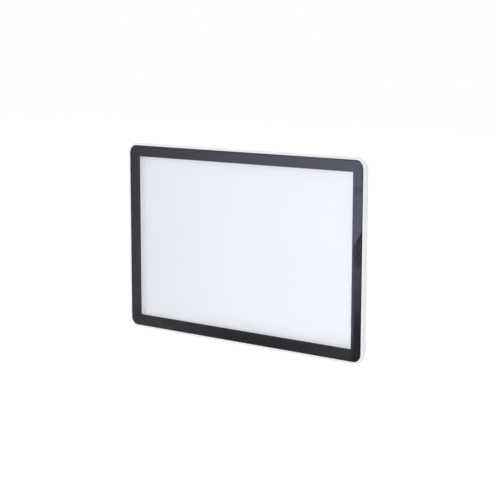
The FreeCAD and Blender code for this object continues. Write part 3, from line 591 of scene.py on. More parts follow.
@dataclass(frozen=True)
class CircuitBoard(Finish):
    """Glass-fibre board under solder mask, its copper tracks showing as a faint relief."""

    track: str = "2F7A45"
    pitch_mm: float = 2.54
    relief_mm: float = -0.035

    def pattern(self, tree: Tree, place: Socket) -> Surface:
        """Draw straight tracks on the pitch of the parts' legs, broken in steps.

        Args:
            tree: Shader tree.
            place: Object coordinates.

        Returns:
            Its colour and relief.
        """
        axes = add_node(tree, "ShaderNodeSeparateXYZ", None, {"Vector": place}).outputs
        flat = add_node(tree, "ShaderNodeCombineXYZ", None, {"X": axes["X"], "Y": axes["Z"]})
        mask = linear(self.colour)
        tracks = add_node(tree, "ShaderNodeTexBrick", {"offset": 0.37, "squash": 1.0}, {
            "Vector": flat.outputs["Vector"], "Scale": per_metre(self.pitch_mm) / 4, "Color1": mask,
            "Color2": mask, "Mortar": linear(self.track), "Mortar Size": 0.03, "Brick Width": 3.1,
            "Row Height": 0.25})
        return Surface(
            colour=tracks.outputs["Color"], height=tracks.outputs["Fac"], height_mm=self.relief_mm)


@dataclass(frozen=True)
class CableInsulation(Finish):
    """Extruded PVC insulation: a soft gloss, and a second colour in a stripe on the earth lead."""

    stripe: str = ""
    band_mm: float = 19.73
    uneven_mm: float = 1.5
    uneven_depth_mm: float = 0.02

    def pattern(self, tree: Tree, place: Socket) -> Surface:
        """Draw the faint unevenness of the extrusion, and the stripe where there is one.

        Args:
            tree: Shader tree.
            place: Object coordinates.

        Returns:
            Its roughness and relief, and the colour of a striped lead.
        """
        uneven = grain(tree, place, self.uneven_mm, 2.0)
        surface = Surface(
            roughness=self.gloss(tree, uneven, -0.05, 0.05), height=uneven, height_mm=self.uneven_depth_mm)
        if self.stripe:
            bands = add_node(tree, "ShaderNodeTexWave", {"bands_direction": "DIAGONAL"}, {
                "Vector": place, "Scale": DIAGONAL_WAVE * per_metre(self.band_mm)})
            surface.colour = shade(tree, bands.outputs["Fac"], self.colour, self.stripe, 0.48, 0.52)
        return surface


@dataclass(frozen=True)
class PaperSweep(Finish):
    """Matt white studio paper, which shows white wherever the object's shadow doesn't fall."""

    lift: float = 0.2
    fibre_mm: float = 3.0

    def pattern(self, tree: Tree, place: Socket) -> Surface:
        """Draw the paper's fibre in its roughness."""
        return Surface(roughness=self.gloss(tree, grain(tree, place, self.fibre_mm, 3.0), -0.05, 0.0))

    def wrap(self, tree: Tree, shader: Node) -> Socket:
        """Lift the paper to white where it is looked at, without more light on the object.

        Args:
            tree: Shader tree.
            shader: The paper's principled shader.

        Returns:
            The surface output.
        """
        strength = add_node(tree, "ShaderNodeMath", {"operation": "MULTIPLY"}, (
            looked_at(tree), self.lift))
        glow = add_node(tree, "ShaderNodeEmission", None, {"Strength": strength.outputs[0]})
        both = add_node(tree, "ShaderNodeAddShader", None, (
            shader.outputs["BSDF"], glow.outputs["Emission"]))
        return both.outputs["Shader"]


@dataclass(frozen=True)
class LitCard(Finish):
    """Card under soft light: bright high on the right, dim below a slanted edge, white at its rim.

    A ramp is two places in metres, across (X) or up (Z) the stage, and the level at each of them.
    A level of 1 is plain white.
    """

    # tint of the dim part and of the lit one, which turns bluer to the right
    low_tint: Colour = (1.0, 1.0, 1.16, 1.0)
    high_tint: Colour = (1.0, 1.01, 1.33, 1.0)
    bluer: Ramp = (-1.95, -1.5, 0.0, 1.0)
    # lower edge of the lit part: slanted, but level on the card's right side
    slope: float = -1.88
    slant: Ramp = (1.765, 1.769, 0.0, 1.0)
    beside: Ramp = (-1.135, -1.118, 0.0, 1.0)
    horizon: Ramp = (-0.65, -0.59, 0.0, 1.0)
    # level of the lit part, and how much a thin bar takes away at distances from its middle
    brighter: Ramp = (-1.92, -1.115, 0.86, 2.25)
    bar_z: float = -0.195
    bar: Ramp = (0.003, 0.012, 0.26, 0.0)
    # level of the dim part, by X and by Z on the right side, and of the streaks over it
    below: tuple[Ramp, Ramp] = ((-1.72, -1.55, 0.68, 0.42), (-1.45, -1.33, 0.0, 0.22))
    right: tuple[Ramp, Ramp] = ((-0.58, -0.43, 0.36, 1.3), (-0.42, -0.39, 1.0, 0.56))
    streak_mm: float = 45.0
    streaks: Ramp = (0.35, 0.65, 0.84, 1.16)
    # rim in which the card melts into the white studio
    rim_x: tuple[Ramp, Ramp] = ((-2.35, -2.0, 0.0, 1.0), (-1.06, -0.9, 1.0, 0.0))
    rim_z: tuple[Ramp, Ramp] = ((-0.78, -0.7, 0.0, 1.0), (-0.08, 0.1, 1.0, 0.0))

    def build(self) -> bpy.types.Material:
        """Make the material, which glows as the card would and takes no other light.

        Returns:
            The new material.
        """
        made, place = self.start()
        tree = made.node_tree
        axes = add_node(tree, "ShaderNodeSeparateXYZ", None, {"Vector": place}).outputs
        across, up = axes["X"], axes["Z"]
        tilted = add_node(tree, "ShaderNodeMath", {"operation": "MULTIPLY_ADD"}, (across, self.slope, up))
        smooth = {"interpolation_type": "SMOOTHSTEP"}
        edges = [
            add_node(tree, "ShaderNodeMapRange", smooth, (along, *ramp)).outputs[0]
            for along, ramp in ((across, self.beside), (up, self.horizon), (tilted.outputs[0], self.slant))]
        lit = add_node(tree, "ShaderNodeMix", {"data_type": "FLOAT"}, {
            0: edges[0], 2: edges[1], 3: edges[2]}).outputs[0]
        level = add_node(tree, "ShaderNodeMix", {"data_type": "FLOAT"}, {
            0: lit, 2: self.dim(tree, place, edges[0]), 3: self.bright(tree, place, edges[0])})
        hue = add_node(tree, "ShaderNodeMath", {"operation": "MULTIPLY"}, (
            lit, self.levels(tree, "MULTIPLY", (across, self.bluer))))
        tint = add_node(tree, "ShaderNodeMix", {"data_type": "RGBA"}, {
            0: hue.outputs[0], 6: self.low_tint, 7: self.high_tint})
        rims = [(across, ramp) for ramp in self.rim_x] + [(up, ramp) for ramp in self.rim_z]
        inside = self.levels(tree, "MULTIPLY", *rims)
        colour = add_node(tree, "ShaderNodeMix", {"data_type": "RGBA"}, {
            0: inside, 6: WHITE, 7: tint.outputs[2]})
        strength = add_node(tree, "ShaderNodeMix", {"data_type": "FLOAT"}, {
            0: inside, 2: 1.0, 3: level.outputs[0]})
        glow = add_node(tree, "ShaderNodeEmission", None, {
            "Color": colour.outputs[2], "Strength": strength.outputs[0]})
        add_node(tree, "ShaderNodeOutputMaterial", None, {"Surface": glow.outputs["Emission"]})
        return made

    def levels(self, tree: Tree, operation: str, *ramps: tuple[Socket, Ramp]) -> Socket:
        """Follow some ramps and add or multiply their levels.

        Args:
            tree: Shader tree.
            operation: How one level joins the next.
            ramps: What each ramp follows, and the ramp.

        Returns:
            The level.
        """
        parts = [
            add_node(tree, "ShaderNodeMapRange", None, (along, *ramp)).outputs[0] for along, ramp in ramps]
        result = parts[0]
        for part in parts[1:]:
            result = add_node(tree, "ShaderNodeMath", {"operation": operation}, (result, part)).outputs[0]
        return result

    def bright(self, tree: Tree, place: Socket, beside: Socket) -> Socket:
        """Level of the lit part, brighter to the right, with a thin bar across its right side.

        Args:
            tree: Shader tree.
            place: Object coordinates.
            beside: 1 on the card's right side.

        Returns:
            The level.
        """
        axes = add_node(tree, "ShaderNodeSeparateXYZ", None, {"Vector": place}).outputs
        above = add_node(tree, "ShaderNodeMath", {"operation": "SUBTRACT"}, (axes["Z"], self.bar_z))
        away = add_node(tree, "ShaderNodeMath", {"operation": "ABSOLUTE"}, (above.outputs[0],))
        bar = add_node(tree, "ShaderNodeMath", {"operation": "MULTIPLY"}, (
            self.levels(tree, "MULTIPLY", (away.outputs[0], self.bar)), beside))
        rest = add_node(tree, "ShaderNodeMath", {"operation": "SUBTRACT"}, (1.0, bar.outputs[0]))
        level = add_node(tree, "ShaderNodeMath", {"operation": "MULTIPLY"}, (
            self.levels(tree, "MULTIPLY", (axes["X"], self.brighter)), rest.outputs[0]))
        return level.outputs[0]

    def dim(self, tree: Tree, place: Socket, beside: Socket) -> Socket:
        """Level of the dim part, which falls towards the floor and is a little uneven.

        Args:
            tree: Shader tree.
            place: Object coordinates.
            beside: 1 on the card's right side.

        Returns:
            The level.
        """
        axes = add_node(tree, "ShaderNodeSeparateXYZ", None, {"Vector": place}).outputs
        left = self.levels(tree, "ADD", *((axes["X"], ramp) for ramp in self.below))
        right = self.levels(tree, "MULTIPLY", *((axes["Z"], ramp) for ramp in self.right))
        even = add_node(tree, "ShaderNodeMix", {"data_type": "FLOAT"}, {0: beside, 2: left, 3: right})
        uneven = self.levels(tree, "MULTIPLY", (grain(tree, place, self.streak_mm), self.streaks))
        level = add_node(tree, "ShaderNodeMath", {"operation": "MULTIPLY"}, (even.outputs[0], uneven))
        return level.outputs[0]


class Palette:
    """Every finish of the light, named for the real one, with what each gives the eye."""

    # even satin white, whose highlights are soft and broken by a fine peel
    powder_coat = PowderCoat("satin_white_powder_coat", "F2F3F4", 0.42, shaded="F0F1F2")
    # the same white over a casting, a little duller and with a coarser peel
    cast_coat = PowderCoat("white_powder_coat_on_die_casting", "F3F4F5", 0.46, peel_mm=2.2, shaded="EDEEEF")
    # cool grey metal with frosty crystals that brighten and darken as they turn
    galvanised = GalvanisedSteel("hot_dip_galvanised_steel", "BFC3C6", 0.38, 1.0)
    # bright cold metal with sharp glints along its tool lines
    stainless = TurnedMetal("turned_stainless_steel", "C9CBCC", 0.26, 1.0)
    # thin white film that leaves the screws' edges crisp
    lacquer = PowderCoat("white_lacquer_on_stainless_screws", "F0F1F2", 0.4, peel_mm=0.9, shaded="E6E8E9")
    # warm yellow metal, browner in its grooves
    brass = TurnedMetal("turned_brass", "D8B266", 0.27, 1.0, dull="A98442")
    # dull near-black with no clear highlight
    rubber = MouldedSurface("moulded_epdm_rubber", "17181A", 0.72, grain_mm=0.6, worn="242527")
    # deep black with a silky edge line between glass and rim
    silicone = MouldedSurface("extruded_black_silicone", "101113", 0.6, grain_mm=0.8, grain_depth_mm=0.01,
                              worn="16171A")
    # clear and mirror-smooth, so that the border behind it looks polished
    glass = ToughenedGlass("toughened_float_glass", "FFFFFF", 0.0, ior=1.52)
    # deep blue-black; fused to the glass, it adds next to no reflection of its own
    ceramic = FiredCeramic("black_ceramic_print_fired_on_glass", "0A0B0E", 0.5, ior=1.05)
    # quiet bluish white without hot spots, with painted light along the ledge for light that creeps through
    # the sheet and against the border's shade
    opal = OpalSheet("satin_opal_acrylic", "EFF1F8", 0.55, ior=1.49, shaded="EDF0F6", open_mm=(136.4, 87.1))
    # water-clear plate in which only the frosted dots catch the light
    acrylic = EtchedAcrylic("clear_cast_acrylic_with_etched_dots", "FAFCFC", 0.02, ior=1.49, clearness=0.85)
    # flat bright white, a little warmer than the face
    film = OpalSheet("white_polyester_reflector_film", "F7F8F8", 0.5, shaded="F1F2F3")
    # soft dull grey with open pores
    foam = MouldedSurface("closed_cell_grey_foam", "7B7E82", 0.85, grain_mm=0.9, grain_depth_mm=0.12,
                          worn="8B8E92")
    # pale metal whose sheen runs along the rolling lines
    aluminium = RolledSheet("mill_finish_rolled_aluminium", "D3D5D7", 0.34, 1.0)
    # glossy white with tracks that show as faint ridges
    white_board = CircuitBoard("circuit_board_under_white_mask", "ECEDEC", 0.4, track="DDDEDC",
                               pitch_mm=1.27)
    # glossy deep green with lighter tracks
    green_board = CircuitBoard("circuit_board_under_green_mask", "14552D", 0.35)
    # hard creamy white that frames each window
    led_body = MouldedSurface("white_polyphthalamide_of_led_packages", "F1F1EC", 0.4, grain_mm=0.2,
                              grain_depth_mm=0.004, worn="F6F6F2")
    # wet-looking yellow
    phosphor = MouldedSurface("yellow_phosphor_gel", "E8D35A", 0.3, grain_mm=0.1, worn="F0DD70")
    # plain black plastic with a fine matt grain
    driver_plastic = MouldedSurface("black_flame_retardant_polycarbonate", "212225", 0.5, worn="2B2C2F")
    # black with a slight shine
    component = MouldedSurface("moulded_epoxy_of_components", "151618", 0.35, worn="202124")
    # light grey plastic, semi-matt
    terminal = MouldedSurface("grey_polyamide", "A6A9AC", 0.4, worn="B2B5B8")
    # clear signal orange, so that the levers are found at once
    lever = MouldedSurface("orange_polyamide", "E8752A", 0.38, worn="EE8139")
    # dark grey plastic, a shade lighter than the rubber beside it
    vent = MouldedSurface("dark_grey_moulded_polyamide", "3A3C3F", 0.5, worn="47494C")
    # chalky white without shine
    membrane = MouldedSurface("expanded_ptfe_membrane", "EDEDEA", 0.8, grain_mm=0.2, worn="F4F4F2")
    # plain wire colours with a soft gloss, the earth's in two colours
    brown_lead = CableInsulation("brown_pvc_insulation", "5A3420", 0.4)
    blue_lead = CableInsulation("blue_pvc_insulation", "1F4E9E", 0.4)
    earth_lead = CableInsulation("green_and_yellow_pvc_insulation", "3E7F2E", 0.4, stripe="E4CC2E")
    white_lead = CableInsulation("white_pvc_insulation", "E6E5E0", 0.4)
    # the stage: matt white ground, and what the black border mirrors
    paper = PaperSweep("white_studio_paper", "FDFDFD", 0.95)
    card = LitCard("softly_lit_card", "FFFFFF")


class Axis(Enum):
    """Direction in which the own axis of a turned piece points."""

    OUT = ("X", 90.0)
    INTO_WALL = ("X", -90.0)
    UP = ("X", 0.0)
    DOWN = ("X", 180.0)
    RIGHT = ("Y", 90.0)

    def turn(self) -> Matrix:
        """Return the turn from a piece's own axis, local Z, to this direction."""
        return Matrix.Rotation(math.radians(self.value[1]), 4, self.value[0])

    def at(self, x: float, depth: float, z: float) -> Matrix:
        """Return the place of a piece whose own origin lies at x, a depth and z, in millimetres."""
        return Matrix.Translation((x, -depth, z)) @ self.turn()


@dataclass(frozen=True)
class Box:
    """Limits of a solid in millimetres."""

    lo: Vector
    hi: Vector

    @property
    def centre(self) -> Vector:
        """Middle of the box."""
        return (self.lo + self.hi) / 2

    @property
    def size(self) -> Vector:
        """Edge lengths of the box."""
        return self.hi - self.lo

    @property
    def back(self) -> float:
        """Depth of the side nearest to the wall."""
        return -self.hi.y

    @property
    def front(self) -> float:
        """Depth of the side furthest from the wall."""
        return -self.lo.y


def node_box(name: str) -> Box:
    """Return the limits of a CAD node."""
    lo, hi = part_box(name)
    return Box(lo / MM, hi / MM)


def solid_boxes(name: str) -> list[Box]:
    """Return the limits of each separate solid of a CAD node, from left to right and low to high.

    Args:
        name: CAD node.

    Returns:
        One box for each connected part of its mesh.
    """
    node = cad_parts[name]
    mesh = bmesh.new()
    mesh.from_mesh(node.data)
    bmesh.ops.remove_doubles(mesh, verts=mesh.verts, dist=CAD_WELD)
    todo = set(mesh.verts)
    boxes = []
    while todo:
        edge = [todo.pop()]
        points = []
        while edge:
            vert = edge.pop()
            points.append(node.matrix_world @ vert.co / MM)
            fresh = {link.other_vert(vert) for link in vert.link_edges} & todo
            todo -= fresh
            edge.extend(fresh)
        lo = Vector(min(point[i] for point in points) for i in range(3))
        hi = Vector(max(point[i] for point in points) for i in range(3))
        boxes.append(Box(lo, hi))
    mesh.free()
    return sorted(boxes, key=lambda box: (round(box.lo.x, 1), round(box.lo.z, 1)))


Radius = Union[float, Callable[[float], float]]
Ring = list[Vector]


def ring(radius: Radius, along: float, sides: int) -> Ring:
    """Make one ring of points round a piece's own axis.

    Args:
        radius: Radius, or a function that gives it for an angle.
        along: Place on the axis.
        sides: Number of points.

    Returns:
        The ring's points in millimetres.
    """
    points = []
    for index in range(sides):
        angle = math.tau * index / sides
        reach = radius(angle) if callable(radius) else radius
        points.append(Vector((reach * math.cos(angle), reach * math.sin(angle), along)))
    return points


def across_flats(width: float, limit: float = 1e9, flats: int = 6) -> Callable[[float], float]:
    """Radius of a flat-sided bar by angle, its corners turned down to a limit."""
    step = math.tau / flats
    return lambda angle: min(limit, width / 2 / math.cos((angle + step / 2) % step - step / 2))


def lobed(outer: float, inner: float, lobes: int = 6) -> Callable[[float], float]:
    """Radius of a lobed driver recess by angle."""
    return lambda angle: (outer + inner) / 2 + (outer - inner) / 2 * math.cos(lobes * angle)


def rounded_ring(width: float, height: float, corner: float, along: float, steps: int = 8) -> Ring:
    """Make a ring in the shape of a rounded rectangle.

    Args:
        width: Size along local X.
        height: Size along local Y.
        corner: Corner radius.
        along: Place on the axis.
        steps: Segments in each corner.

    Returns:
        The ring's points in millimetres.
    """
    points = []
    radius = max(0.0, min(corner, width / 2, height / 2))
    for index, (sx, sy) in enumerate(((1, 1), (-1, 1), (-1, -1), (1, -1))):
        centre = Vector((sx * (width / 2 - radius), sy * (height / 2 - radius), along))
        for step in range(steps + 1):
            angle = math.pi / 2 * (index + step / steps)
            points.append(centre + radius * Vector((math.cos(angle), math.sin(angle), 0.0)))
    return points


def lathe(section: Iterable[tuple[Radius, float]], sides: int) -> list[Ring]:
    """Turn a section, given as radius and place on the axis of each corner, to a row of rings."""
    return [ring(radius, along, sides) for radius, along in section]


class Ends(Enum):
    """What a skin does at its first and last ring."""

    CLOSED = "both closed"
    CLOSED_START = "first closed"
    CLOSED_END = "last closed"
    JOINED = "last joined to first"


class Thread(Enum):
    """Screw threads, each by its outer radius and its pitch in millimetres."""

    M3 = (1.5, 0.5)
    M4 = (2.0, 0.7)
    VENT = (4.98, 1.0)

    @property
    def radius(self) -> float:
        """Radius over the crests."""
        return self.value[0]

    @property
    def pitch(self) -> float:
        """Distance from crest to crest."""
        return self.value[1]

    @property
    def root(self) -> float:
        """Radius in the grooves, which are 0.61 of the pitch deep in a 60-degree thread."""
        return self.radius - 0.61 * self.pitch


@dataclass
class Shell:
    """Points in millimetres and faces, gathered before they become one mesh."""

    points: list[Vector] = field(default_factory=list)
    faces: list[tuple[int, ...]] = field(default_factory=list)

    def loft(self, rings: Sequence[Ring], place: Matrix | None = None, ends: Ends = Ends.CLOSED) -> "Shell":
        """Skin a row of rings that have the same number of points.

        Args:
            rings: Rings from one end to the other.
            place: Where the piece goes; its own place if left out.
            ends: What happens at the first and the last ring.

        Returns:
            This shell.
        """
        base = len(self.points)
        count = len(rings[0])
        self.points += [place @ point if place else point for one in rings for point in one]
        total = len(rings)
        for row in range(total if ends is Ends.JOINED else total - 1):
            here, there = base + row * count, base + (row + 1) % total * count
            for index in range(count):
                after = (index + 1) % count
                self.faces.append((here + index, here + after, there + after, there + index))
        if ends in (Ends.CLOSED, Ends.CLOSED_START):
            self.faces.append(tuple(base + index for index in reversed(range(count))))
        if ends in (Ends.CLOSED, Ends.CLOSED_END):
            self.faces.append(tuple(base + (total - 1) * count + index for index in range(count)))
        return self

    def cut(self, thread: Thread, start: float, end: float, sides: int,
            place: Matrix | None = None) -> "Shell":
        """Cut a screw thread between two places on the axis, chamfered at both ends.

        Args:
            thread: Size of the thread.
            start: Where the thread begins.
            end: Where it ends.
            sides: Points in each turn.
            place: Where the piece goes; its own place if left out.

        Returns:
            This shell.
        """
        # how far the groove is filled at each step along one pitch: groove, flank, crest, flank
        flanks = (0.0, 0.0, 0.5, 1.0, 1.0, 0.5)
        rows = math.ceil((end - start) / thread.pitch + 2) * len(flanks)
        base = len(self.points)
        for row in range(rows):
            for index in range(sides + 1):
                angle = math.tau * index / sides
                along = start + thread.pitch * (row / len(flanks) - 1 + index / sides)
                inside = min(max(along, start), end)
                reach = thread.root + (thread.radius - thread.root) * flanks[row % len(flanks)]
                reach = min(reach, thread.root + min(inside - start, end - inside))
                point = Vector((reach * math.cos(angle), reach * math.sin(angle), inside))
                self.points.append(place @ point if place else point)
        for row in range(rows - 1):
            for index in range(sides):
                here = base + row * (sides + 1) + index
                self.faces.append((here, here + 1, here + sides + 2, here + sides + 1))
        return self

    def mesh(self, name: str, sharp_degrees: float = 35.0) -> Mesh:
        """Turn the shell to a mesh in metres with its normals outward.

        Args:
            name: Name of the mesh.
            sharp_degrees: Edges that turn more than this stay crisp.

        Returns:
            The mesh.
        """
        made = bpy.data.meshes.new(name)
        work = bmesh.new()
        verts = [work.verts.new(point * MM) for point in self.points]
        for face in self.faces:
            corners = [verts[index] for index in face]
            if len(set(corners)) > 2:
                work.faces.new(corners)
        bmesh.ops.remove_doubles(work, verts=work.verts, dist=WELD)
        bmesh.ops.dissolve_degenerate(work, edges=work.edges, dist=SLIVER)
        bmesh.ops.recalc_face_normals(work, faces=work.faces)
        for face in work.faces:
            face.smooth = True
        work.to_mesh(made)
        work.free()
        made.set_sharp_from_angle(angle=math.radians(sharp_degrees))
        return made


def show(name: str, mesh: Mesh, finish: Finish, body: str,
         nodes: Sequence[str] = ()) -> bpy.types.Object:
    """Put a piece in the scene, on its body, in place of the CAD nodes that it stands for.

    Args:
        name: Name of the piece.
        mesh: Its mesh, in the shared frame.
        finish: Its finish.
        body: Body that it moves with.
        nodes: CAD nodes that it replaces.

    Returns:
        The piece's object.
    """
    mesh.materials.clear()
    mesh.materials.append(finish.material())
    piece = bpy.data.objects.new(name, mesh)
    bpy.context.scene.collection.objects.link(piece)
    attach(piece, body)
    if nodes:
        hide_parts(*nodes)
    LOG.info("piece %s: %d faces, %s", name, len(mesh.polygons), finish.name)
    return piece


def new_tree(name: str, inputs: dict[str, str]) -> Tree:
    """Start a geometry tree with named inputs and one geometry output.

    Args:
        name: Name of the tree.
        inputs: Socket type of each input by its name.

    Returns:
        The tree, with its group input node and no links yet.
    """
    tree = bpy.data.node_groups.new(name, "GeometryNodeTree")
    for label, kind in inputs.items():
        tree.interface.new_socket(label, in_out="INPUT", socket_type=kind)
    tree.interface.new_socket("Geometry", in_out="OUTPUT", socket_type="NodeSocketGeometry")
    return tree


def run_tree(tree: Tree, source: Mesh, inputs: dict[str, object]) -> Mesh:
    """Run a geometry tree on a mesh and keep what it makes as a plain mesh.

    Args:
        tree: Geometry tree.
        source: Mesh that goes in.
        inputs: Value of each input by its name.

    Returns:
        The plain mesh.
    """
    holder = bpy.data.objects.new(source.name, source)
    bpy.context.scene.collection.objects.link(holder)
    modifier = holder.modifiers.new(tree.name, "NODES")
    modifier.node_group = tree
    for item in tree.interface.items_tree:
        if item.in_out == "INPUT" and item.name in inputs:
            modifier[item.identifier] = inputs[item.name]
    graph = bpy.context.evaluated_depsgraph_get()
    mesh = bpy.data.meshes.new_from_object(holder.evaluated_get(graph), depsgraph=graph)
    bpy.data.objects.remove(holder)
    return mesh


def copies_tree() -> Tree:
    """Build the tree that sets a copy of a piece on every point, each with a turn of its own.

    Returns:
        Tree with the inputs Piece, Direction, Seed, Spin and Material.
    """
    tree = new_tree("copies_on_points", {
        "Geometry": "NodeSocketGeometry", "Piece": "NodeSocketObject", "Direction": "NodeSocketVector",
        "Seed": "NodeSocketInt", "Spin": "NodeSocketFloat", "Material": "NodeSocketMaterial"})
    given = add_node(tree, "NodeGroupInput").outputs
    piece = add_node(tree, "GeometryNodeObjectInfo", None, {"Object": given["Piece"]})
    spin = add_node(tree, "FunctionNodeRandomValue", {"data_type": "FLOAT"}, {
        2: 0.0, 3: given["Spin"], "Seed": given["Seed"]})
    spin = add_node(tree, "FunctionNodeAxisAngleToRotation", None, {
        "Axis": (0.0, 0.0, 1.0), "Angle": spin.outputs[1]})
    facing = add_node(tree, "FunctionNodeEulerToRotation", None, {"Euler": given["Direction"]})
    turned = add_node(tree, "FunctionNodeRotateRotation", {"rotation_space": "LOCAL"}, {
        "Rotation": facing.outputs["Rotation"], "Rotate By": spin.outputs["Rotation"]})
    points = add_node(tree, "GeometryNodeMeshToPoints", None, {"Mesh": given["Geometry"]})
    copies = add_node(tree, "GeometryNodeInstanceOnPoints", None, {
        "Points": points.outputs["Points"], "Instance": piece.outputs["Geometry"],
        "Rotation": turned.outputs["Rotation"]})
    real = add_node(tree, "GeometryNodeRealizeInstances", None, {"Geometry": copies.outputs["Instances"]})
    dressed = add_node(tree, "GeometryNodeSetMaterial", None, {
        "Geometry": real.outputs["Geometry"], "Material": given["Material"]})
    add_node(tree, "NodeGroupOutput", None, {"Geometry": dressed.outputs["Geometry"]})
    return tree


def sweep_tree() -> Tree:
    """Build the tree that draws a closed section along a path of edges.

    Returns:
        Tree with the inputs Section and Material.
    """
    tree = new_tree("section_along_path", {
        "Geometry": "NodeSocketGeometry", "Section": "NodeSocketObject", "Material": "NodeSocketMaterial"})
    given = add_node(tree, "NodeGroupInput").outputs
    section = add_node(tree, "GeometryNodeObjectInfo", None, {"Object": given["Section"]})
    profile = add_node(tree, "GeometryNodeMeshToCurve", None, {"Mesh": section.outputs["Geometry"]})
    path = add_node(tree, "GeometryNodeMeshToCurve", None, {"Mesh": given["Geometry"]})
    swept = add_node(tree, "GeometryNodeCurveToMesh", None, {
        "Curve": path.outputs["Curve"], "Profile Curve": profile.outputs["Curve"], "Fill Caps": True})
    smooth = add_node(tree, "GeometryNodeSetShadeSmooth", None, {"Geometry": swept.outputs["Mesh"]})
    real = add_node(tree, "GeometryNodeRealizeInstances", None, {"Geometry": smooth.outputs["Geometry"]})
    dressed = add_node(tree, "GeometryNodeSetMaterial", None, {
        "Geometry": real.outputs["Geometry"], "Material": given["Material"]})
    add_node(tree, "NodeGroupOutput", None, {"Geometry": dressed.outputs["Geometry"]})
    return tree


def edge_mesh(name: str, points: Iterable[Vector], closed: bool) -> Mesh:
    """Make a mesh of edges alone.

    Args:
        name: Name of the mesh.
        points: Row of points in millimetres.
        closed: Whether the last point joins the first.

    Returns:
        The mesh, in metres.
    """
    spots = [point * MM for point in points]
    edges = [(index, index + 1) for index in range(len(spots) - 1)]
    if closed:
        edges.append((len(spots) - 1, 0))
    mesh = bpy.data.meshes.new(name)
    mesh.from_pydata(spots, edges, [])
    return mesh


@dataclass
class Repeats:
    """Sets copies of one small piece on many places through the copies tree."""

    tree: Tree = field(default_factory=copies_tree)

    def make(self, template: Mesh, places: Sequence[Vector], axis: Axis, finish: Finish,
             seed: int = 1, spin: float = math.tau) -> Mesh:
        """Make one mesh of all the copies.

        Args:
            template: Mesh of one piece about its own origin.
            places: Where the copies go, in millimetres.
            axis: Where the piece's own axis points.
            finish: Finish of the copies.
            seed: Seed of their turns.
            spin: Largest turn about the own axis, in radians.

        Returns:
            The plain mesh.
        """
        points = edge_mesh(template.name + "_places", places, False)
        sample = bpy.data.objects.new(template.name + "_sample", template)
        made = run_tree(self.tree, points, {
            "Piece": sample, "Direction": tuple(axis.turn().to_euler()), "Seed": seed, "Spin": spin,
            "Material": finish.material()})
        bpy.data.objects.remove(sample)
        return made


@dataclass
class Tubes:
    """Draws round leads along a path of straight runs and bends through the sweep tree."""

    tree: Tree = field(default_factory=sweep_tree)
    sides: int = 20
    bend_steps: int = 10
    bend_share: float = 0.45
    sharp_degrees: float = 50.0

    def route(self, corners: Sequence[Vector]) -> list[Vector]:
        """Round every corner of a route with an arc as large as its runs allow.

        Args:
            corners: Corners of the route in millimetres.

        Returns:
            Points of the rounded route.
        """
        points = [corners[0]]
        for before, corner, after in zip(corners, corners[1:], corners[2:]):
            arrive = (corner - before).normalized()
            leave = (after - corner).normalized()
            reach = self.bend_share * min((corner - before).length, (after - corner).length)
            half_turn = arrive.angle(leave) / 2
            inward = (leave - arrive).normalized()
            bend = reach / math.tan(half_turn)
            centre = corner + inward * (bend / math.cos(half_turn))
            side = (corner - arrive * reach - centre).normalized()
            ahead = arrive
            for step in range(self.bend_steps + 1):
                angle = 2 * half_turn * step / self.bend_steps
                points.append(centre + bend * (side * math.cos(angle) + ahead * math.sin(angle)))
        points.append(corners[-1])
        return points

    def make(self, name: str, corners: Sequence[Vector], radius: float, finish: Finish) -> Mesh:
        """Draw one lead.

        Args:
            name: Name of the lead.
            corners: Corners of its route in millimetres.
            radius: Radius over the insulation.
            finish: Finish of the insulation.

        Returns:
            The plain mesh.
        """
        section = edge_mesh(name + "_section", ring(radius, 0.0, self.sides), True)
        sample = bpy.data.objects.new(name + "_sample", section)
        made = run_tree(self.tree, edge_mesh(name, self.route(corners), False), {
            "Section": sample, "Material": finish.material()})
        bpy.data.objects.remove(sample)
        made.set_sharp_from_angle(angle=math.radians(self.sharp_degrees))
        return made


@dataclass(frozen=True)
class PanHeadScrew:
    """Pan-head machine screw with a six-lobe recess, about the plane under its head."""

    head_radius: float
    length: float
    head_height: float = 1.9
    thread: Thread = Thread.M3
    plain_neck: float = 0.3
    sides: int = 36

    @classmethod
    def like(cls, box: Box) -> "PanHeadScrew":
        """Return the screw that fills the box of a CAD screw, whose axis is the depth."""
        return cls(box.size.x / 2, box.size.y - cls.head_height)

    def mesh(self, name: str) -> Mesh:
        """Turn the head, sink the recess and cut the thread.

        Args:
            name: Name of the mesh.

        Returns:
            Mesh of one screw whose tip points along its own axis.
        """
        head, top, root = self.head_radius, self.head_height, self.thread.root
        # the recess, and its mouth, which is opened a little by a chamfer
        recess, mouth = lobed(0.44 * head, 0.32 * head), lobed(0.47 * head, 0.35 * head)
        # shares of the head's radius and height, from its crown to its underside
        crown = ((0.56, 1.0), (0.76, 0.93), (0.9, 0.78), (0.98, 0.56), (1.0, 0.4), (1.0, 0.08), (0.97, 0.0))
        section = [(recess, -0.45 * top), (recess, 0.04 - top), (mouth, -top)]
        section += [(wide * head, -high * top) for wide, high in crown]
        section += [(root, 0.0), (root, self.plain_neck)]
        shell = Shell().loft(lathe(section, self.sides), ends=Ends.CLOSED_START)
        shell.cut(self.thread, self.plain_neck, self.length, self.sides)
        tip = [(root, self.length), (0.2, self.length)]
        return shell.loft(lathe(tip, self.sides), ends=Ends.CLOSED_END).mesh(name)


def mould_rubber(name: str, node: str, section: Iterable[tuple[Radius, float]], sides: int,
                 body: str) -> None:
    """Mould a rubber ring round the depth, in place of its CAD node.

    Args:
        name: Name of the piece.
        node: CAD node that it replaces.
        section: Radius and depth of each corner of its closed section.
        sides: Points in each ring.
        body: Body that it moves with.
    """
    box = node_box(node)
    shell = Shell().loft(lathe(section, sides), Axis.OUT.at(box.centre.x, 0.0, box.centre.z), Ends.JOINED)
    show(name, shell.mesh(name, 50.0), Palette.rubber, body, [node])


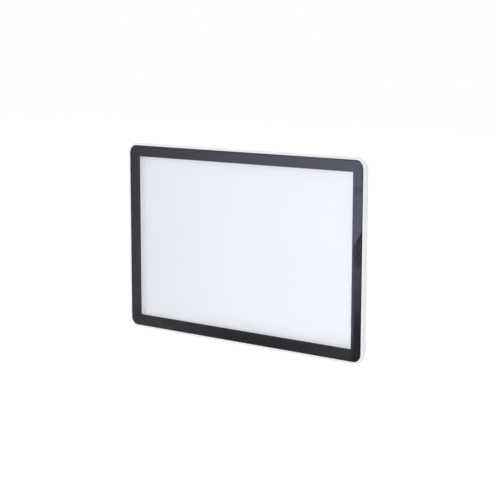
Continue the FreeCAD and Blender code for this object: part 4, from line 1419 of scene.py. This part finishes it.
@dataclass
class SubAssembly:
    """A group of pieces that belong together: it dresses its CAD nodes and builds its own pieces."""

    finishes: ClassVar[dict[str, Finish]] = {}

    def dress(self) -> None:
        """Give each CAD node of this group its material."""
        for name, finish in self.finishes.items():
            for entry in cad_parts[name].material_slots:
                entry.material = finish.material()
            LOG.info("node %s: %s", name, finish.name)

    def build(self) -> None:
        """Make the pieces that the CAD model leaves to this scene; a group may have none."""


@dataclass
class FrontPanel(SubAssembly):
    """Rim, seal, glass, black border and white face: all that the front shows."""

    finishes = {
        "front_frame": Palette.powder_coat,
        "glass_gasket": Palette.silicone,
        "glass_pane": Palette.glass,
        "border_print": Palette.ceramic,
        "diffuser_sheet": Palette.opal,
    }
    gap: float = 0.03
    fused: float = 0.006
    seat_reach: float = 8.0
    corner_steps: int = 12
    same_height: float = 0.01

    def build(self) -> None:
        """Mould the seal with a soft bead between rim and glass, and a seat under the glass."""
        whole, glass = node_box("glass_gasket"), node_box("glass_pane")
        inner = (whole.size.x - glass.size.x) / 2 - self.gap
        back, seat, front = whole.back, node_box("border_print").back, whole.front
        section = [
            (self.seat_reach, back), (0.3, back), (0.0, back + 0.3), (0.0, front - 0.35),
            (0.12, front - 0.12), (0.3, front - 0.03), (inner / 2, front), (inner - 0.3, front - 0.03),
            (inner - 0.12, front - 0.12), (inner, front - 0.3), (inner, seat), (self.seat_reach, seat)]
        corner = self.corner_radius(whole)
        rings = []
        for inset, depth in section:
            size = (whole.size.x - 2 * inset, whole.size.z - 2 * inset)
            rings.append(rounded_ring(*size, corner - inset, depth, self.corner_steps))
        seal = Shell().loft(rings, Axis.OUT.turn(), Ends.JOINED)
        show("rim_seal", seal.mesh("rim_seal", 40.0), Palette.silicone, "lamp",
             ["glass_gasket"])
        self.make_border(corner - inner - self.gap)

    def make_border(self, corner: float) -> None:
        """Print the border a few microns into the glass, as fused enamel, so that no air lies between.

        Args:
            corner: Corner radius of the glass.
        """
        box = node_box("border_print")
        points = [vert.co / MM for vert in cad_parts["border_print"].data.vertices]
        window = [2 * min(abs(point[axis]) for point in points) for axis in (0, 2)]
        front = box.front + self.fused
        outer, edge = (box.size.x, box.size.z, corner), (window[0], window[1], 0.0)
        rings = [rounded_ring(*size, depth, self.corner_steps)
                 for size, depth in ((outer, box.back), (outer, front), (edge, front), (edge, box.back))]
        shell = Shell().loft(rings, Axis.OUT.turn(), Ends.JOINED)
        show("fired_border", shell.mesh("fired_border", 20.0), Palette.ceramic, "lamp",
             ["border_print"])

    def corner_radius(self, whole: Box) -> float:
        """Return the corner radius of the seal's outline, from where its straight top ends.

        Args:
            whole: Box of the seal.

        Returns:
            Radius in millimetres.
        """
        points = [vert.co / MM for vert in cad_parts["glass_gasket"].data.vertices]
        on_top = [abs(point.x) for point in points if abs(point.z - whole.hi.z) < self.same_height]
        return whole.hi.x - max(on_top)


@dataclass
class LightEngine(SubAssembly):
    """Light guide, reflector, tray and LED boards behind the white face."""

    finishes = {
        "light_guide": Palette.acrylic,
        "reflector_sheet": Palette.film,
        "guide_pads": Palette.foam,
        "heat_tray": Palette.aluminium,
        "led_strip_top": Palette.white_board,
        "led_strip_bottom": Palette.white_board,
        "led_chips_top": Palette.phosphor,
        "led_chips_bottom": Palette.phosphor,
        "led_leads": Palette.white_lead,
    }
    lead_radius: float = 0.6
    climb_start: float = 60.0
    climb_end: float = 67.5
    groove_depth: float = 24.2

    def build(self) -> None:
        """Set the LED packages with their phosphor windows, and draw the leads to the boards."""
        copies = Repeats()
        for side, axis in (("top", Axis.DOWN), ("bottom", Axis.UP)):
            node = "led_chips_" + side
            chips = solid_boxes(node)
            foot = chips[0].hi.z if axis is Axis.DOWN else chips[0].lo.z
            places = [Vector((chip.centre.x, chip.centre.y, foot)) for chip in chips]
            parts = (("led_packages_", self.package(chips[0].size), Palette.led_body),
                     ("led_windows_", self.window(chips[0].size), Palette.phosphor))
            for name, shell, finish in parts:
                made = copies.make(shell.mesh(name + "one", 30.0), places, axis, finish, spin=0.0)
                show(name + side, made, finish, "lamp", [node])
        tubes = Tubes()
        for lead in solid_boxes("led_leads"):
            name = "led_lead_top" if lead.centre.z > 0 else "led_lead_bottom"
            made = tubes.make(name, self.lead_route(lead), self.lead_radius, Palette.white_lead)
            show(name, made, Palette.white_lead, "lamp", ["led_leads"])

    def package(self, size: Vector) -> Shell:
        """Shape one LED body about its foot: a white cup with sloped inner walls.

        Args:
            size: Size of the CAD chip in millimetres.

        Returns:
            The body's shell.
        """
        wide, deep, tall = size
        rims = [(wide, deep, 0.0), (wide, deep, 0.8 * tall), (wide - 0.1, deep - 0.1, tall),
                (wide - 0.5, deep - 0.35, tall), (wide - 0.75, deep - 0.55, 0.55 * tall)]
        return Shell().loft([rounded_ring(w, d, 0.12, z, 2) for w, d, z in rims])

    def window(self, size: Vector) -> Shell:
        """Shape the phosphor gel that fills the cup of one LED.

        Args:
            size: Size of the CAD chip in millimetres.

        Returns:
            The gel's shell.
        """
        wide, deep, tall = size
        rims = [(wide - 0.7, deep - 0.5, 0.6), (wide - 0.6, deep - 0.42, 0.86), (0.8, 0.3, 0.94)]
        return Shell().loft([rounded_ring(w, d, 0.2, share * tall, 2) for w, d, share in rims])

    def lead_route(self, lead: Box) -> list[Vector]:
        """Lay one lead along the box's floor, up to its flange, under the tray and to its board.

        Args:
            lead: Box of the CAD lead.

        Returns:
            Corners of the route in millimetres.
        """
        sign = 1 if lead.centre.z > 0 else -1
        start, end = (lead.lo.z, lead.hi.z) if sign > 0 else (lead.hi.z, lead.lo.z)
        floor, board = lead.back + self.lead_radius, end - sign * self.lead_radius
        stops = [(floor, start), (floor, sign * self.climb_start),
                 (self.groove_depth, sign * self.climb_end), (self.groove_depth, board), (lead.front, board)]
        return [Vector((lead.centre.x, -depth, z)) for depth, z in stops]


@dataclass
class BackHousing(SubAssembly):
    """Die-cast box with its seal, screws, hinge pins, cable entry and vent."""

    finishes = {
        "back_box": Palette.cast_coat,
        "frame_seal": Palette.rubber,
        "frame_screws": Palette.lacquer,
        "hinge_pins": Palette.stainless,
        "lock_screw_left": Palette.stainless,
        "lock_screw_right": Palette.stainless,
        "cable_grommet": Palette.rubber,
        "vent_plug": Palette.vent,
        "vent_seal": Palette.rubber,
        "vent_membrane": Palette.membrane,
    }
    sides: int = 48
    eye_centre: float = 4.5
    eye_half: float = 1.52
    eye_radius: float = 3.36
    eye_bore: float = 1.62
    boss_radius: float = 4.12
    boss_bore: float = 2.12
    boss_rise: float = 3.1
    boss_top_gap: float = 0.68
    socket_width: float = 2.0
    socket_mouth: float = 2.3
    socket_depth: float = 2.5
    point_radius: float = 1.4
    point_length: float = 1.0
    point_chamfer: float = 0.15
    vent_flats: float = 14.0
    vent_corner: float = 7.9
    vent_top_corner: float = 7.3
    vent_bore: float = 3.0
    vent_slot_floor: float = 3.6
    vent_slot_half_degrees: float = 5.5
    vent_sides: int = 72

    def build(self) -> None:
        """Make the fasteners, the cable entry and the vent in full detail."""
        self.make_frame_screws()
        self.make_lock_screws()
        self.make_hinge_pins()
        self.make_cast_rounds()
        self.make_grommet()
        self.make_vent()

    def make_frame_screws(self) -> None:
        """Set the screws that hold the frame, their tips away from the wall."""
        screws = solid_boxes("frame_screws")
        screw = PanHeadScrew.like(screws[0])
        places = [Vector((box.centre.x, box.hi.y - screw.head_height, box.centre.z)) for box in screws]
        made = Repeats().make(screw.mesh("frame_screw"), places, Axis.OUT, Palette.lacquer, seed=7)
        show("frame_machine_screws", made, Palette.lacquer, "lamp", ["frame_screws"])

    def make_lock_screws(self) -> None:
        """Cut the two socket set screws: thread, socket and plain point."""
        root, narrow, chamfer = Thread.M4.root, self.point_radius, self.point_chamfer
        socket, mouth = across_flats(self.socket_width), across_flats(self.socket_mouth)
        head = [(socket, self.socket_depth), (socket, chamfer), (mouth, 0.0), (root, 0.0)]
        for side in ("left", "right"):
            node = "lock_screw_" + side
            box = node_box(node)
            top, neck = box.size.z, box.size.z - self.point_length
            tip = [(root, neck), (narrow, neck), (narrow, top - chamfer), (narrow - chamfer, top)]
            shell = Shell().loft(lathe(head, self.sides), ends=Ends.CLOSED_START)
            shell.cut(Thread.M4, 0.0, neck, self.sides)
            shell.loft(lathe(tip, self.sides), ends=Ends.CLOSED_END)
            made = shell.mesh(node + "_thread")
            made.transform(scaled(Axis.UP.at(box.centre.x, -box.centre.y, box.lo.z)))
            show("set_screw_" + side, made, Palette.stainless, node, [node])

    def make_hinge_pins(self) -> None:
        """Turn the hinge pins with rounded ends."""
        for name, box in zip(("hinge_pin_left", "hinge_pin_right"), solid_boxes("hinge_pins")):
            half, radius = box.size.x / 2, box.size.y / 2
            section = [
                (0.75 * radius, -half), (0.93 * radius, 0.12 - half), (radius, 0.4 - half),
                (radius, half - 0.4), (0.93 * radius, half - 0.12), (0.75 * radius, half)]
            place = Axis.RIGHT.at(box.centre.x, -box.centre.y, box.centre.z)
            shell = Shell().loft(lathe(section, self.sides), place)
            show(name, shell.mesh(name, 30.0), Palette.stainless, "lamp", ["hinge_pins"])

    def make_cast_rounds(self) -> None:
        """Round the cast eyes of the hinge pins and the bosses of the set screws, with soft rims."""
        half, wide, bore = self.eye_half, self.eye_radius, self.eye_bore
        eye = [(bore, -half), (wide - 0.3, -half), (wide - 0.08, 0.1 - half), (wide, 0.3 - half),
               (wide, half - 0.3), (wide - 0.08, half - 0.1), (wide - 0.3, half), (bore, half)]
        shell = Shell()
        for pin in solid_boxes("hinge_pins"):
            for side in (-1, 1):
                middle = pin.centre.x + side * self.eye_centre
                place = Axis.RIGHT.at(middle, -pin.centre.y, pin.centre.z)
                shell.loft(lathe(eye, self.sides), place, Ends.JOINED)
        wide, rise, bore = self.boss_radius, self.boss_rise, self.boss_bore
        boss = [(bore, 0.0), (wide, 0.0), (wide, rise - 0.3), (wide - 0.09, rise - 0.09),
                (wide - 0.3, rise), (bore + 0.28, rise), (bore, rise - 0.25)]
        for side in ("left", "right"):
            screw = node_box("lock_screw_" + side)
            low = screw.hi.z - self.boss_top_gap - rise
            place = Axis.UP.at(screw.centre.x, -screw.centre.y, low)
            shell.loft(lathe(boss, self.sides), place, Ends.JOINED)
        show("cast_eyes_and_bosses", shell.mesh("cast_eyes_and_bosses", 40.0), Palette.cast_coat, "lamp")

    def make_grommet(self) -> None:
        """Mould the cable grommet: rolled flange, neck, lip and a nose with sealing folds."""
        box = node_box("cable_grommet")
        outer, back, front = box.size.x / 2, box.back, box.front
        section = [
            (4.0, back + 0.5), (4.35, back + 0.1), (4.8, back), (outer - 0.7, back),
            (outer - 0.2, back + 0.2), (outer, back + 0.7), (outer, 7.8), (outer - 0.2, 8.0), (6.0, 8.0),
            (6.0, 10.5), (7.2, 10.5),
            (7.5, 10.75), (7.3, 11.3), (6.5, 12.6), (6.1, 13.0), (6.05, 13.5), (5.5, front - 0.4),
            (5.1, front), (4.3, front), (4.0, front - 0.4), (4.0, 13.0), (4.3, 12.6), (4.0, 12.2)]
        mould_rubber("rolled_cable_grommet", "cable_grommet", section, self.sides, "lamp")

    def make_vent(self) -> None:
        """Mould the vent: chamfered six-sided head with air slots, and a fine thread."""
        box, bore, root = node_box("vent_plug"), self.vent_bore, Thread.VENT.root
        back, neck, front = box.back, box.back + 3.0, box.front
        full = across_flats(self.vent_flats, self.vent_corner)
        slotted = self.slotted(full)
        head = [
            (bore, back + 0.25), (bore + 0.3, back), (6.5, back),
            (across_flats(self.vent_flats, self.vent_top_corner), back + 0.4), (full, back + 0.8),
            (full, back + 1.0), (slotted, back + 1.0), (slotted, back + 2.4), (full, back + 2.4),
            (full, neck), (root, neck)]
        tail = [(root, front), (bore, front), (bore, back + 4.0)]
        place = Axis.OUT.at(box.centre.x, 0.0, box.centre.z)
        shell = Shell().loft(lathe(head, self.vent_sides), place, Ends.CLOSED_START)
        shell.cut(Thread.VENT, neck, front, self.vent_sides, place)
        shell.loft(lathe(tail, self.vent_sides), place, Ends.CLOSED_END)
        show("threaded_vent_plug", shell.mesh("threaded_vent_plug", 25.0), Palette.vent, "lamp",
             ["vent_plug"])

    def slotted(self, outside: Callable[[float], float]) -> Radius:
        """Radius of the vent's head by angle, cut down to a floor at each of its six slots.

        Args:
            outside: Radius of the head without slots.

        Returns:
            Function that gives the radius for an angle.
        """
        step, floor = math.tau / 6, self.vent_slot_floor
        half = math.radians(self.vent_slot_half_degrees)
        return lambda angle: floor if abs((angle + step / 2) % step - step / 2) < half else outside(angle)


@dataclass
class Electrics(SubAssembly):
    """Driver, lever terminal, earth point and inner leads."""

    finishes = {
        "driver_case": Palette.driver_plastic,
        "driver_cover": Palette.driver_plastic,
        "driver_board": Palette.green_board,
        "driver_components": Palette.component,
        "driver_screws": Palette.stainless,
        "terminal_block": Palette.terminal,
        "terminal_contacts": Palette.brass,
        "lever_live": Palette.lever,
        "lever_neutral": Palette.lever,
        "lever_earth": Palette.lever,
        "earth_stud": Palette.brass,
        "earth_tag": Palette.brass,
        "earth_nut": Palette.brass,
        "live_lead": Palette.brown_lead,
        "neutral_lead": Palette.blue_lead,
        "earth_lead": Palette.earth_lead,
    }
    lead_radius: float = 1.1
    stud_sides: int = 36

    def build(self) -> None:
        """Make the driver's screws, the earth stud's thread and the mains leads."""
        self.make_driver_screws()
        self.make_stud()
        self.make_leads()

    def make_driver_screws(self) -> None:
        """Set the screws that hold the driver, their tips towards the wall."""
        screws = solid_boxes("driver_screws")
        screw = PanHeadScrew.like(screws[0])
        places = [Vector((box.centre.x, box.lo.y + screw.head_height, box.centre.z)) for box in screws]
        made = Repeats().make(screw.mesh("driver_screw"), places, Axis.INTO_WALL, Palette.stainless, seed=4)
        show("driver_machine_screws", made, Palette.stainless, "lamp", ["driver_screws"])

    def make_stud(self) -> None:
        """Cut the thread of the earth stud."""
        box, thread, sides = node_box("earth_stud"), Thread.M4, self.stud_sides
        foot, tip = [(0.3, box.back), (thread.root, box.back)], [(thread.root, box.front), (0.3, box.front)]
        place = Axis.OUT.at(box.centre.x, 0.0, box.centre.z)
        shell = Shell().loft(lathe(foot, sides), place, Ends.CLOSED_START)
        shell.cut(thread, box.back, box.front, sides, place)
        shell.loft(lathe(tip, sides), place, Ends.CLOSED_END)
        show("threaded_earth_stud", shell.mesh("threaded_earth_stud"), Palette.brass, "lamp",
             ["earth_stud"])

    def make_leads(self) -> None:
        """Draw the live and neutral leads round one bend, and the earth lead round two."""
        tubes, radius, foot = Tubes(), self.lead_radius, node_box("live_lead").lo.z
        for pole, finish, slot in (("live", Palette.brown_lead, "lead_brown"),
                                   ("neutral", Palette.blue_lead, "lead_blue"),
                                   ("earth", Palette.earth_lead, "lead_green_yellow")):
            box = node_box(pole + "_lead")
            left, right, high = box.lo.x + radius, box.hi.x, box.hi.z - radius
            stops = [(left, foot), (left, high), (right, high)]
            if pole == "earth":
                stops[2:] = [(right - radius, high), (right - radius, box.lo.z)]
            corners = [Vector((x, box.centre.y, z)) for x, z in stops]
            made = tubes.make(pole + "_insulated_lead", corners, radius, finish)
            show(pole + "_insulated_lead", made, finish, "lamp", [pole + "_lead"])


@dataclass
class WallMount(SubAssembly):
    """Pressed steel bracket and the rubber edging of its cable opening."""

    finishes = {
        "wall_bracket": Palette.galvanised,
        "bracket_bush": Palette.rubber,
    }
    sides: int = 64

    def build(self) -> None:
        """Mould the edging: a soft lip over the sheet and a rounded inner edge."""
        box = node_box("bracket_bush")
        lip, front = box.size.x / 2, box.front
        section = [
            (15.5, 0.35), (15.65, 0.1), (16.0, 0.02), (17.0, 0.02), (17.0, 1.5), (lip - 0.3, 1.5),
            (lip, 1.75), (lip - 0.15, 2.3), (lip - 0.7, front), (16.3, front), (15.7, front - 0.25),
            (15.5, front - 0.7)]
        mould_rubber("soft_bracket_edging", "bracket_bush", section, self.sides, "wall_bracket")


def scaled(place: Matrix) -> Matrix:
    """Turn a place in millimetres to one in metres."""
    return Matrix.Translation(place.translation * MM) @ place.to_3x3().to_4x4()


@dataclass
class Studio:
    """Plain pale floor, soft even light, and the camera at the photograph's angle."""

    light_level: float = 0.82
    sun_strength: float = 0.69
    sun_degrees: float = 70.0
    sun_way: tuple[float, float, float] = (-0.36, 0.93, -0.02)
    floor_z: float = -0.8
    floor_size: float = 24.0
    card_depth: float = 2.0
    card_x: tuple[float, float] = (-2.4, -0.85)
    card_z: tuple[float, float] = (-0.79, 0.15)
    camera_place: tuple[float, float, float] = (0.81963, -1.09549, 0.21168)
    camera_forward: tuple[float, float, float] = (-0.59867, 0.78532, -0.15769)
    camera_up: tuple[float, float, float] = (-0.09725, 0.12415, 0.98749)
    lens_mm: float = 95.948
    sensor_mm: float = 36.0

    def build(self) -> None:
        """Make the world, the floor, the lamp, the mirrored card and the camera."""
        self.make_world()
        self.make_floor()
        self.make_key()
        self.make_card()
        self.make_camera()

    def make_world(self) -> None:
        """White wherever the camera, a gloss or a glass looks, and an even light on all else."""
        world = bpy.data.worlds.new("even_studio")
        world.use_nodes = True
        tree = world.node_tree
        tree.nodes.clear()
        strength = add_node(tree, "ShaderNodeMapRange", None, (
            looked_at(tree), 0.0, 1.0, self.light_level, 1.0))
        ground = add_node(tree, "ShaderNodeBackground", None, {
            "Color": WHITE, "Strength": strength.outputs["Result"]})
        add_node(tree, "ShaderNodeOutputWorld", None, {"Surface": ground.outputs["Background"]})
        bpy.context.scene.world = world

    def make_floor(self) -> None:
        """Lay a wide sheet of studio paper well below the light."""
        half = self.floor_size / 2
        corners = [(x * half, y * half, self.floor_z) for x, y in ((-1, -1), (1, -1), (1, 1), (-1, 1))]
        self.stage_sheet("studio_floor", corners, Palette.paper.material())

    def stage_sheet(self, name: str, corners: Sequence[Sequence[float]],
                    material: bpy.types.Material) -> bpy.types.Object:
        """Put a flat four-cornered sheet on the stage.

        Args:
            name: Name of the sheet.
            corners: Its corners in metres.
            material: Its material.

        Returns:
            The sheet's object.
        """
        mesh = bpy.data.meshes.new(name)
        mesh.from_pydata(corners, [], [(0, 1, 2, 3)])
        mesh.materials.append(material)
        sheet = bpy.data.objects.new(name, mesh)
        bpy.context.scene.collection.objects.link(sheet)
        return sheet

    def make_key(self) -> None:
        """Light from the front and a little from the right, as from a very wide softbox."""
        lamp = bpy.data.lights.new("wide_softbox", "SUN")
        lamp.energy = self.sun_strength
        lamp.angle = math.radians(self.sun_degrees)
        key = bpy.data.objects.new("wide_softbox", lamp)
        key.rotation_mode = "QUATERNION"
        key.rotation_quaternion = Vector(self.sun_way).to_track_quat("-Z", "Y")
        key.visible_glossy = False
        bpy.context.scene.collection.objects.link(key)

    def make_card(self) -> None:
        """Stand the softly lit card where the glass mirrors it, seen by glosses alone."""
        (left, right), (low, high) = self.card_x, self.card_z
        outline = ((left, low), (right, low), (right, high), (left, high))
        corners = [(x, -self.card_depth, z) for x, z in outline]
        sheet = self.stage_sheet("mirrored_card", corners, Palette.card.material())
        sheet.visible_camera = False
        sheet.visible_diffuse = False
        sheet.visible_shadow = False

    def make_camera(self) -> None:
        """Set up the camera from its place and directions."""
        data = bpy.data.cameras.new("camera")
        data.lens = self.lens_mm
        data.sensor_width = self.sensor_mm
        data.clip_start = 0.05
        data.clip_end = 50.0
        camera = bpy.data.objects.new("camera", data)
        forward = Vector(self.camera_forward).normalized()
        side = forward.cross(Vector(self.camera_up)).normalized()
        up = side.cross(forward)
        turn = Matrix((side, up, -forward)).transposed().to_4x4()
        camera.matrix_world = Matrix.Translation(self.camera_place) @ turn
        bpy.context.scene.collection.objects.link(camera)
        bpy.context.scene.camera = camera


def main() -> None:
    """Build the whole scene in order."""
    logging.basicConfig(level=logging.INFO, format="%(name)s: %(message)s")
    bpy.context.scene.view_settings.view_transform = "Standard"
    groups: list[SubAssembly] = [FrontPanel(), LightEngine(), BackHousing(), Electrics(), WallMount()]
    for group in groups:
        group.dress()
        group.build()
    Studio().build()


if __name__ == "__main__":
    main()
